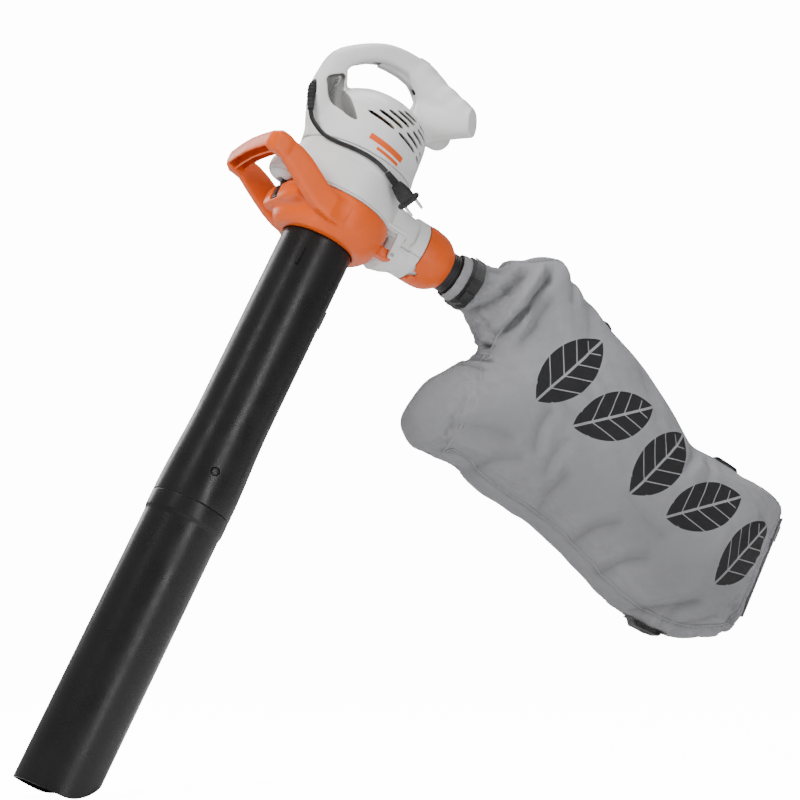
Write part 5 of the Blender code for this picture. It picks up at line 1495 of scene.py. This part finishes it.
def inflate(P, Q):
    """A light inflation with cloth: natural puckers, with its movement capped."""
    mesh = bpy.data.meshes.new("bag_sim")
    mesh.from_pydata(to_world(P).tolist(), [], Q.tolist())
    sim = link("bag_sim", mesh)
    remesh = sim.modifiers.new("remesh", 'REMESH')
    remesh.mode = 'VOXEL'
    remesh.voxel_size = 0.0075
    depsgraph = bpy.context.evaluated_depsgraph_get()
    base = bpy.data.meshes.new_from_object(sim.evaluated_get(depsgraph))
    sim.modifiers.clear()
    sim.data = base
    rest = np.array([v.co[:] for v in base.vertices])
    rest_mm = to_machine(rest)
    # the neck and the zip end are held still
    pin = sim.vertex_groups.new(name="pin")
    for i in np.nonzero((rest_mm[:, 0] < 300) | (rest_mm[:, 0] > 915))[0]:
        pin.add([int(i)], 1.0, 'REPLACE')
    cloth = sim.modifiers.new("cloth", 'CLOTH')
    settings = cloth.settings
    settings.quality = 5
    settings.mass = 0.25
    settings.tension_stiffness = 12
    settings.compression_stiffness = 12
    settings.shear_stiffness = 4
    settings.bending_stiffness = 0.3
    settings.use_pressure = True
    settings.uniform_pressure_force = 3.0
    settings.vertex_group_mass = "pin"
    settings.shrink_min = -0.035
    settings.effector_weights.gravity = 0.0
    cloth.collision_settings.use_collision = False
    scene = bpy.context.scene
    for f in range(1, 19):
        scene.frame_set(f)
    depsgraph = bpy.context.evaluated_depsgraph_get()
    done = sim.evaluated_get(depsgraph).to_mesh()
    moved = np.array([v.co[:] for v in done.vertices])
    scene.frame_set(1)
    delta = np.nan_to_num((moved - rest) * 1000)
    longest = 9.0
    delta *= np.minimum(1.0, longest / np.maximum(np.linalg.norm(delta, axis=1), 1e-6))[:, None]
    delta = delta @ ROTATION
    # carry the movement to the fine mesh with inverse-distance weights
    kd = KDTree(len(rest_mm))
    for i, p in enumerate(rest_mm):
        kd.insert(p, i)
    kd.balance()
    shift = np.zeros_like(P)
    for i, p in enumerate(P):
        found = kd.find_n(p, 4)
        w = np.array([1 / (q[2] + 0.5) ** 2 for q in found])
        shift[i] = (delta[[q[1] for q in found]] * w[:, None]).sum(0) / w.sum()
    bpy.data.objects.remove(sim)
    return P + shift


def vertex_normals(P, Q):
    n = np.cross(P[Q[:, 2]] - P[Q[:, 0]], P[Q[:, 3]] - P[Q[:, 1]])
    N = np.zeros_like(P)
    for k in range(4):
        for c in range(3):
            N[:, c] += np.bincount(Q[:, k], n[:, c], len(P))
    return N / np.maximum(np.linalg.norm(N, axis=1), 1e-9)[:, None]


def path_distance(P, line):
    """Distance to a polyline in the x-z plane, the position along it, and the side of it."""
    L = np.asarray(line, float)
    best = np.full(len(P), 1e9)
    position = np.zeros(len(P))
    sign = np.zeros(len(P))
    run = 0.0
    total = sum(np.linalg.norm(b - a) for a, b in zip(L, L[1:]))
    for a, b in zip(L, L[1:]):
        e = b - a
        length = np.linalg.norm(e)
        w = P[:, [0, 2]] - a
        t = np.clip((w @ e) / (length * length), 0, 1)
        v = w - t[:, None] * e
        d = np.linalg.norm(v, axis=1)
        closer = d < best
        best = np.where(closer, d, best)
        position = np.where(closer, (run + t * length) / total, position)
        sign = np.where(closer, np.sign(e[0] * v[:, 1] - e[1] * v[:, 0]), sign)
        run += length
    return best, position, sign


def press_folds(P, N):
    """Presses the folds into both sides of P and returns how creased each point is, which sets the
    painted shade in the folds.
    """
    crease_shade = np.zeros(len(P))
    for line, depth, width in FOLDS:
        line = catmull(line, 6)
        for side, strength in ((-1, 1.0), (1, 0.55)):
            sel = (N[:, 1] * side > 0.15) & ((P[:, 1] - OUTLET_Y) * side > 0)
            d, t, sign = path_distance(P[sel], line)
            fade = np.clip(np.minimum(t, 1 - t) / 0.22, 0, 1)
            fade = fade * fade * (3 - 2 * fade)
            # a groove on the line with a soft ridge on one side of it
            ridge = np.exp(-((d - width * 1.35) / (width * 0.9)) ** 2) * (sign > 0)
            g = 0.5 * np.exp(-(d / width) ** 2) + 0.5 * np.exp(-np.abs(d) / (width * 0.32))
            P[sel] += N[sel] * ((-g + 0.8 * ridge) * depth * fade * strength)[:, None]
            # how creased each point is, kept for the painted shade in the cloth
            crease_shade[sel] = np.maximum(crease_shade[sel], g * fade * strength * min(1.0, depth / 9.0))
    return crease_shade


def seam_line():
    """The outline drawn inward, clear of the neck: x, z."""
    edge = catmull(OUTLINE + OUTLINE[:1], 4)[:-1]
    tangent = np.roll(edge, -1, 0) - np.roll(edge, 1, 0)
    tangent /= np.linalg.norm(tangent, axis=1)[:, None]
    area = np.sum(edge[:, 0] * np.roll(edge[:, 1], -1) - np.roll(edge[:, 0], -1) * edge[:, 1])
    inward = np.stack([-tangent[:, 1], tangent[:, 0]], 1) * (1 if area > 0 else -1)
    inset = np.interp(edge[:, 1], (-240, -120, 0, 120), (20.0, 15.0, 8.0, 7.0))
    seam = edge + inward * inset[:, None]
    return seam[seam[:, 0] > 325]


def collecting_bag(seam):
    """Makes the bag and returns a tree for finding points on its surface."""
    P, Q = bag_surface()
    P = inflate(P, Q)
    N = vertex_normals(P, Q)
    crease_shade = press_folds(P, N)
    # pinch where the top edge steps down
    d, _, _ = path_distance(P, [(700, 40), (716, 22), (726, 10)])
    P += N * (-3.0 * np.exp(-(d / 14) ** 2))[:, None]
    # grooves under the seams
    for side in (-1, 1):
        sel = (N[:, 1] * side > -0.2)
        d, _, _ = path_distance(P[sel], seam)
        P[sel] += N[sel] * (-1.8 * np.exp(-(d / 4.5) ** 2)
                            * np.clip((P[sel][:, 0] - 300) / 60, 0, 1))[:, None]
    P[:, 0] = np.minimum(P[:, 0], BAG_END_X)
    # fine puckers, strongest near the neck
    pucker = np.zeros(len(P))
    for k, (fx, fz, phase) in enumerate(PUCKERS):
        pucker += np.sin(P[:, 0] * fx * (1 + 0.2 * np.sin(P[:, 2] * 0.013)) + P[:, 2] * fz + phase
                         + 1.3 * np.sin(P[:, 0] * 0.011 + k))
    near_neck = np.exp(-((P[:, 0] - 300) / 90) ** 2)
    P += N * (pucker * (0.28 + 0.42 * near_neck))[:, None]
    ob = mesh_object("collecting_bag_cloth", P, Q.tolist(), CLOTH, "bag", "collecting_bag")
    # stores how creased each point is, for the cloth's painted shade in the folds
    attribute = ob.data.attributes.new("crease_shade", 'FLOAT', 'POINT')
    attribute.data.foreach_set("value", crease_shade.astype(np.float32))
    bm = bmesh.new()
    bm.from_mesh(ob.data)
    tree = BVHTree.FromBMesh(bm)
    bm.free()
    return tree


def on_bag(tree, x, z, side):
    """Point and normal of the bag's near (-1) or far (+1) side at (x, z)."""
    hit = tree.ray_cast(world_point(x, OUTLET_Y + side * 200, z), Vector(-side * Y_AXIS))
    if hit[0] is None or abs(to_machine(hit[0])[1] - OUTLET_Y) < 14:
        hit = tree.find_nearest(world_point(x, OUTLET_Y + side * 22, z))
    return to_machine(hit[0]), np.array(hit[1]) @ ROTATION


def merge_meshes(name, parts, material, sharp=40):
    points, faces = [], []
    base = 0
    for part_points, part_faces in parts:
        points.append(part_points)
        faces += [tuple(int(i) + base for i in f) for f in part_faces]
        base += len(part_points)
    mesh_object(name, np.concatenate(points), faces, material, "bag", sharp=sharp)


def stitch(a, b, normal, r=0.42):
    """One short thread lying between two surface points."""
    t = b - a
    length = np.linalg.norm(t)
    t = t / max(length, 1e-6)
    side = np.cross(t, normal)
    side /= max(np.linalg.norm(side), 1e-6)
    points = []
    # fraction along, share of the radius, lift
    for f, share, lift in ((0, 0.4, 0.0), (0.15, 1, 0.35), (0.85, 1, 0.35), (1, 0.4, 0.0)):
        centre = a + t * length * f + normal * lift
        for k in range(6):
            q = k * math.pi / 3
            points.append(centre + (side * math.cos(q) + normal * math.sin(q)) * r * share)
    return np.array(points), skin_faces(4, 6)


def bag_seams(tree, seam):
    """A welt and a row of stitches inside it, on each side of the bag."""
    for side, name in SIDES:
        hits = [on_bag(tree, x, z, side) for x, z in catmull(seam, 4)]
        points = np.array([h[0] for h in hits])
        normals = np.array([h[1] for h in hits])
        run = np.linalg.norm(np.diff(points, axis=0), axis=1)
        run = np.concatenate([[0], np.cumsum(run)])
        even = np.arange(0, run[-1], 4.0)
        P = np.stack([np.interp(even, run, points[:, c]) for c in range(3)], 1)
        N = np.stack([np.interp(even, run, normals[:, c]) for c in range(3)], 1)
        N /= np.linalg.norm(N, axis=1)[:, None]
        tube_along("bag_welt_" + name, P + N * 0.5, 1.25, 1.25, HEM, "bag", n=8)
        stitches = []
        for i in range(0, len(P) - 2, 2):
            step = P[i + 1] - P[i]
            t = step / max(np.linalg.norm(step), 1e-6)
            start = P[i] + np.cross(t, N[i]) * side * 4.5 + N[i] * 0.3
            stitches.append(stitch(start, start + t * 3.4, N[i]))
        merge_meshes("bag_stitches_" + name, stitches, THREAD)


def neck_cuff():
    """Folded cuff between the spigot and the strap: r, x."""
    profile = [(35.0, 228.5), (36.6, 228.8), (37.4, 233), (37.0, 238), (37.5, 246), (35.6, 246),
               (35.2, 234)]
    lathe("neck_cuff", filleted(profile, 0.6), HEM, "bag", steps=200, place=outlet,
          wobble=lambda a, z: (0.55 * np.sin(7 * a + 1) + 0.45 * np.sin(12 * a + 0.3 * z)
                               + 0.3 * np.sin(19 * a + 2)))


# ------------------------------------------------------------------ zip, loops, tab
PULL_AXIS_Z = -24.0


def zip_fastener():
    y = OUTLET_Y
    block("zip_tape_woven", (930.3, y - 13, -192), (932.0, y + 13, -12), HEM, "bag", "zip_tape",
          bevel=0.4, segments=2)
    teeth = []
    for i, z in enumerate(np.arange(-188, -15, 2.0)):
        y0 = y + (-1.9 if i % 2 else -0.1)
        teeth.append(box_mesh((931.9, y0, z - 0.55), (933.4, y0 + 2.0, z + 0.55)))
    merge_meshes("zip_teeth", teeth, HEM, sharp=20)
    block("zip_slider_body", (932.3, y - 5.5, -32), (937.0, y + 5.5, -19), STEEL, "slider",
          "zip_slider", bevel=1.3)
    z = PULL_AXIS_Z
    pull = block("zip_pull_tab", (937.5, y - 3.8, z - 27), (939.7, y + 3.8, z + 1.0), DARK,
                 "pull", "zip_pull", bevel=0.7)
    carve(pull, [box_mesh((930, y - 1.6, z - 3), (945, y + 1.6, z)),
                 box_mesh((930, y - 1.8, z - 22), (945, y + 1.8, z - 12))])
    sharpen(pull, 40)


# name, node it replaces, x of both feet, z of both feet, rise (negative hangs down), half width
LOOPS = [("carry_loop_a", "carry_loop_front", (490, 512), (121.0, 114.5), 8.5, 11),
         ("carry_loop_b", "carry_loop_rear", (772, 822), (24.6, 22.4), 10, 11),
         ("end_tab_loop", "bag_end_tab", (752, 806), (-287.5, -283.0), -9, 12)]


def webbing_loop(tree, name, node, feet_x, feet_z, rise, half_width):
    """Flat strap that stands off the bag's top or bottom edge between two feet."""
    up = -1.0 if rise < 0 else 1.0

    def foot(x):
        hit = tree.ray_cast(world_point(x, OUTLET_Y, feet_z[0] + up * 60), -up * Z_AXIS)
        # a ray that misses the bag leaves the foot at the first foot's height
        z = float(to_machine(hit[0])[2]) if hit[0] is not None else feet_z[0]
        return np.array((x, z + up * 0.4), float)

    a, b = foot(feet_x[0]), foot(feet_x[1])
    t = unit(b - a)
    n = np.array((-t[1], t[0])) * up
    h = abs(rise)
    path = np.array([a - t * 9 - n * 0.5, a - t * 2 + n * 0.5, a + n * h * 0.75 + t * 3,
                     a + n * h + t * 9, b + n * h - t * 9, b + n * h * 0.75 - t * 3,
                     b + t * 2 + n * 0.5, b + t * 9 - n * 0.5])
    c = catmull(path, 6)
    tube_along(name, np.stack([c[:, 0], np.full(len(c), OUTLET_Y), c[:, 1]], 1), half_width, 0.95,
               WEB, "bag", node, n=16, flat=True)


def end_tab_fold():
    outline = [(756, -283), (762, -291), (772, -295), (786, -294.5), (797, -290), (803, -280)]
    points, faces = prism(filleted(outline, 3.0), OUTLET_Y - 5.5, OUTLET_Y + 5.5)
    ob = mesh_object("end_tab_fold", points, faces, WEB, "bag")
    face_outward(ob.data)
    sharpen(ob, 40)


# ------------------------------------------------------------------ stage, light, camera
AZIMUTH, ELEVATION = math.radians(-25), math.radians(-5)
RIGHT = Vector((math.cos(AZIMUTH), math.sin(AZIMUTH), 0))
# from the scene back to the camera
BACK = Vector((math.sin(AZIMUTH) * math.cos(ELEVATION), -math.cos(AZIMUTH) * math.cos(ELEVATION),
               math.sin(ELEVATION)))
UP = BACK.cross(RIGHT)
# camera place from the machine origin, metres
CAMERA_RIGHT, CAMERA_DOWN, CAMERA_BACK = 0.10878016, 0.26400038, 3.5
FLOOR_CENTRE = Vector((0.55, 0, 0))
FLOOR_HALF = 14
SCENE_CENTRE = Vector((0.6, 0, 0.55))


def camera():
    data = bpy.data.cameras.new("camera")
    data.sensor_fit = 'HORIZONTAL'
    data.sensor_width = 36
    data.lens = 104.99985
    data.clip_start = 0.05
    ob = bpy.data.objects.new("camera", data)
    at = ORIGIN + RIGHT * CAMERA_RIGHT - UP * CAMERA_DOWN + BACK * CAMERA_BACK
    ob.matrix_world = Matrix(((RIGHT.x, UP.x, BACK.x, at.x), (RIGHT.y, UP.y, BACK.y, at.y),
                              (RIGHT.z, UP.z, BACK.z, at.z), (0, 0, 0, 1)))
    bpy.context.scene.collection.objects.link(ob)
    bpy.context.scene.camera = ob


def floor():
    """Pale floor just under the machine, glowing only to the camera."""
    z = CAD_BOX[0][2] - 0.001
    ahead = Vector((-BACK.x, -BACK.y, 0)).normalized()
    side = Vector((ahead.y, -ahead.x, 0))
    points = []
    for d in (-FLOOR_HALF, FLOOR_HALF):
        for w in (-FLOOR_HALF, FLOOR_HALF):
            p = FLOOR_CENTRE + ahead * d + side * w
            points.append((p.x, p.y, z))
    mesh = bpy.data.meshes.new("floor")
    mesh.from_pydata(points, [], [(0, 1, 3, 2)])
    mesh.shade_smooth()
    m = Mat("pale_floor", (0.90, 0.90, 0.90), rough=0.8, spec=0.15)
    clouds = m.ramp(m.noise(scale=3.0, detail=3), between=(0.3, 0.7))
    m.color(m.mix(clouds, (0.89, 0.89, 0.89), (0.92, 0.92, 0.92)))
    m.put(m.bsdf, "Emission Color", (1, 1, 1, 1))
    camera_ray = Value(m, m.node("LightPath").outputs["Is Camera Ray"])
    camera_glow = 13.6
    m.put(m.bsdf, "Emission Strength", camera_ray * camera_glow)
    mesh.materials.append(m.material)
    link("floor", mesh)


def soft_world():
    """White world, dim as a light and bright where the camera sees it."""
    world = bpy.data.worlds.new("soft_world")
    bpy.context.scene.world = world
    world.use_nodes = True
    tree = world.node_tree
    background = tree.nodes["Background"]
    background.inputs[0].default_value = (1, 1, 1, 1)
    light_path = tree.nodes.new("ShaderNodeLightPath")
    strength = tree.nodes.new("ShaderNodeMapRange")
    tree.links.new(light_path.outputs["Is Camera Ray"], strength.inputs["Value"])
    strength.inputs["To Min"].default_value = 0.36
    strength.inputs["To Max"].default_value = 14.0
    tree.links.new(strength.outputs["Result"], background.inputs[1])


def area_light(name, right=0.0, back=0.0, up=0.0, width=1.0, height=1.0, power=1.0,
               target_drop=0.0, glossy=True):
    """Area light placed from the scene centre and aimed at it, or a little under it."""
    data = bpy.data.lights.new(name, 'AREA')
    data.energy = power
    data.shape = 'RECTANGLE'
    data.size = width
    data.size_y = height
    ob = bpy.data.objects.new(name, data)
    place = SCENE_CENTRE + BACK * back + RIGHT * right + Vector((0, 0, up))
    target = SCENE_CENTRE - Vector((0, 0, target_drop))
    ob.location = place
    ob.rotation_euler = (target - place).to_track_quat('-Z', 'Y').to_euler()
    bpy.context.scene.collection.objects.link(ob)
    ob.visible_glossy = glossy


def lights():
    area_light("key", right=-1.9, back=1.9, up=2.2, width=0.95, height=1.4, power=112,
               glossy=False)
    area_light("gloss", right=-1.5, back=2.0, up=2.2, width=0.5, height=0.9, power=8)
    area_light("strip", right=1.1, back=2.0, up=0.3, width=0.26, height=2.4, power=26,
               target_drop=0.1)
    area_light("fill", right=2.4, back=2.6, up=0.8, width=1.6, height=1.6, power=12,
               glossy=False)
    area_light("top", back=-0.4, up=2.6, width=1.8, height=1.8, power=46)
    area_light("rim", right=-1.6, back=-1.6, up=1.0, width=0.8, height=1.6, power=20)


# ------------------------------------------------------------------ build
dress_cad()
bearing_bridge()
motor_covers()
fan_housing()
intake_ring()
tube_latch()
upper_tube()
lower_tube()
snap_button()
coupling()
bag_adapter()
neck_strap()
cable_boot()
power_cable()
mains_plug()
cord_hook()
trigger()
lock_button()
bag_seam = seam_line()
bag_tree = collecting_bag(bag_seam)
bag_seams(bag_tree, bag_seam)
neck_cuff()
zip_fastener()
for loop in LOOPS:
    webbing_loop(bag_tree, *loop)
end_tab_fold()
camera()
floor()
soft_world()
lights()
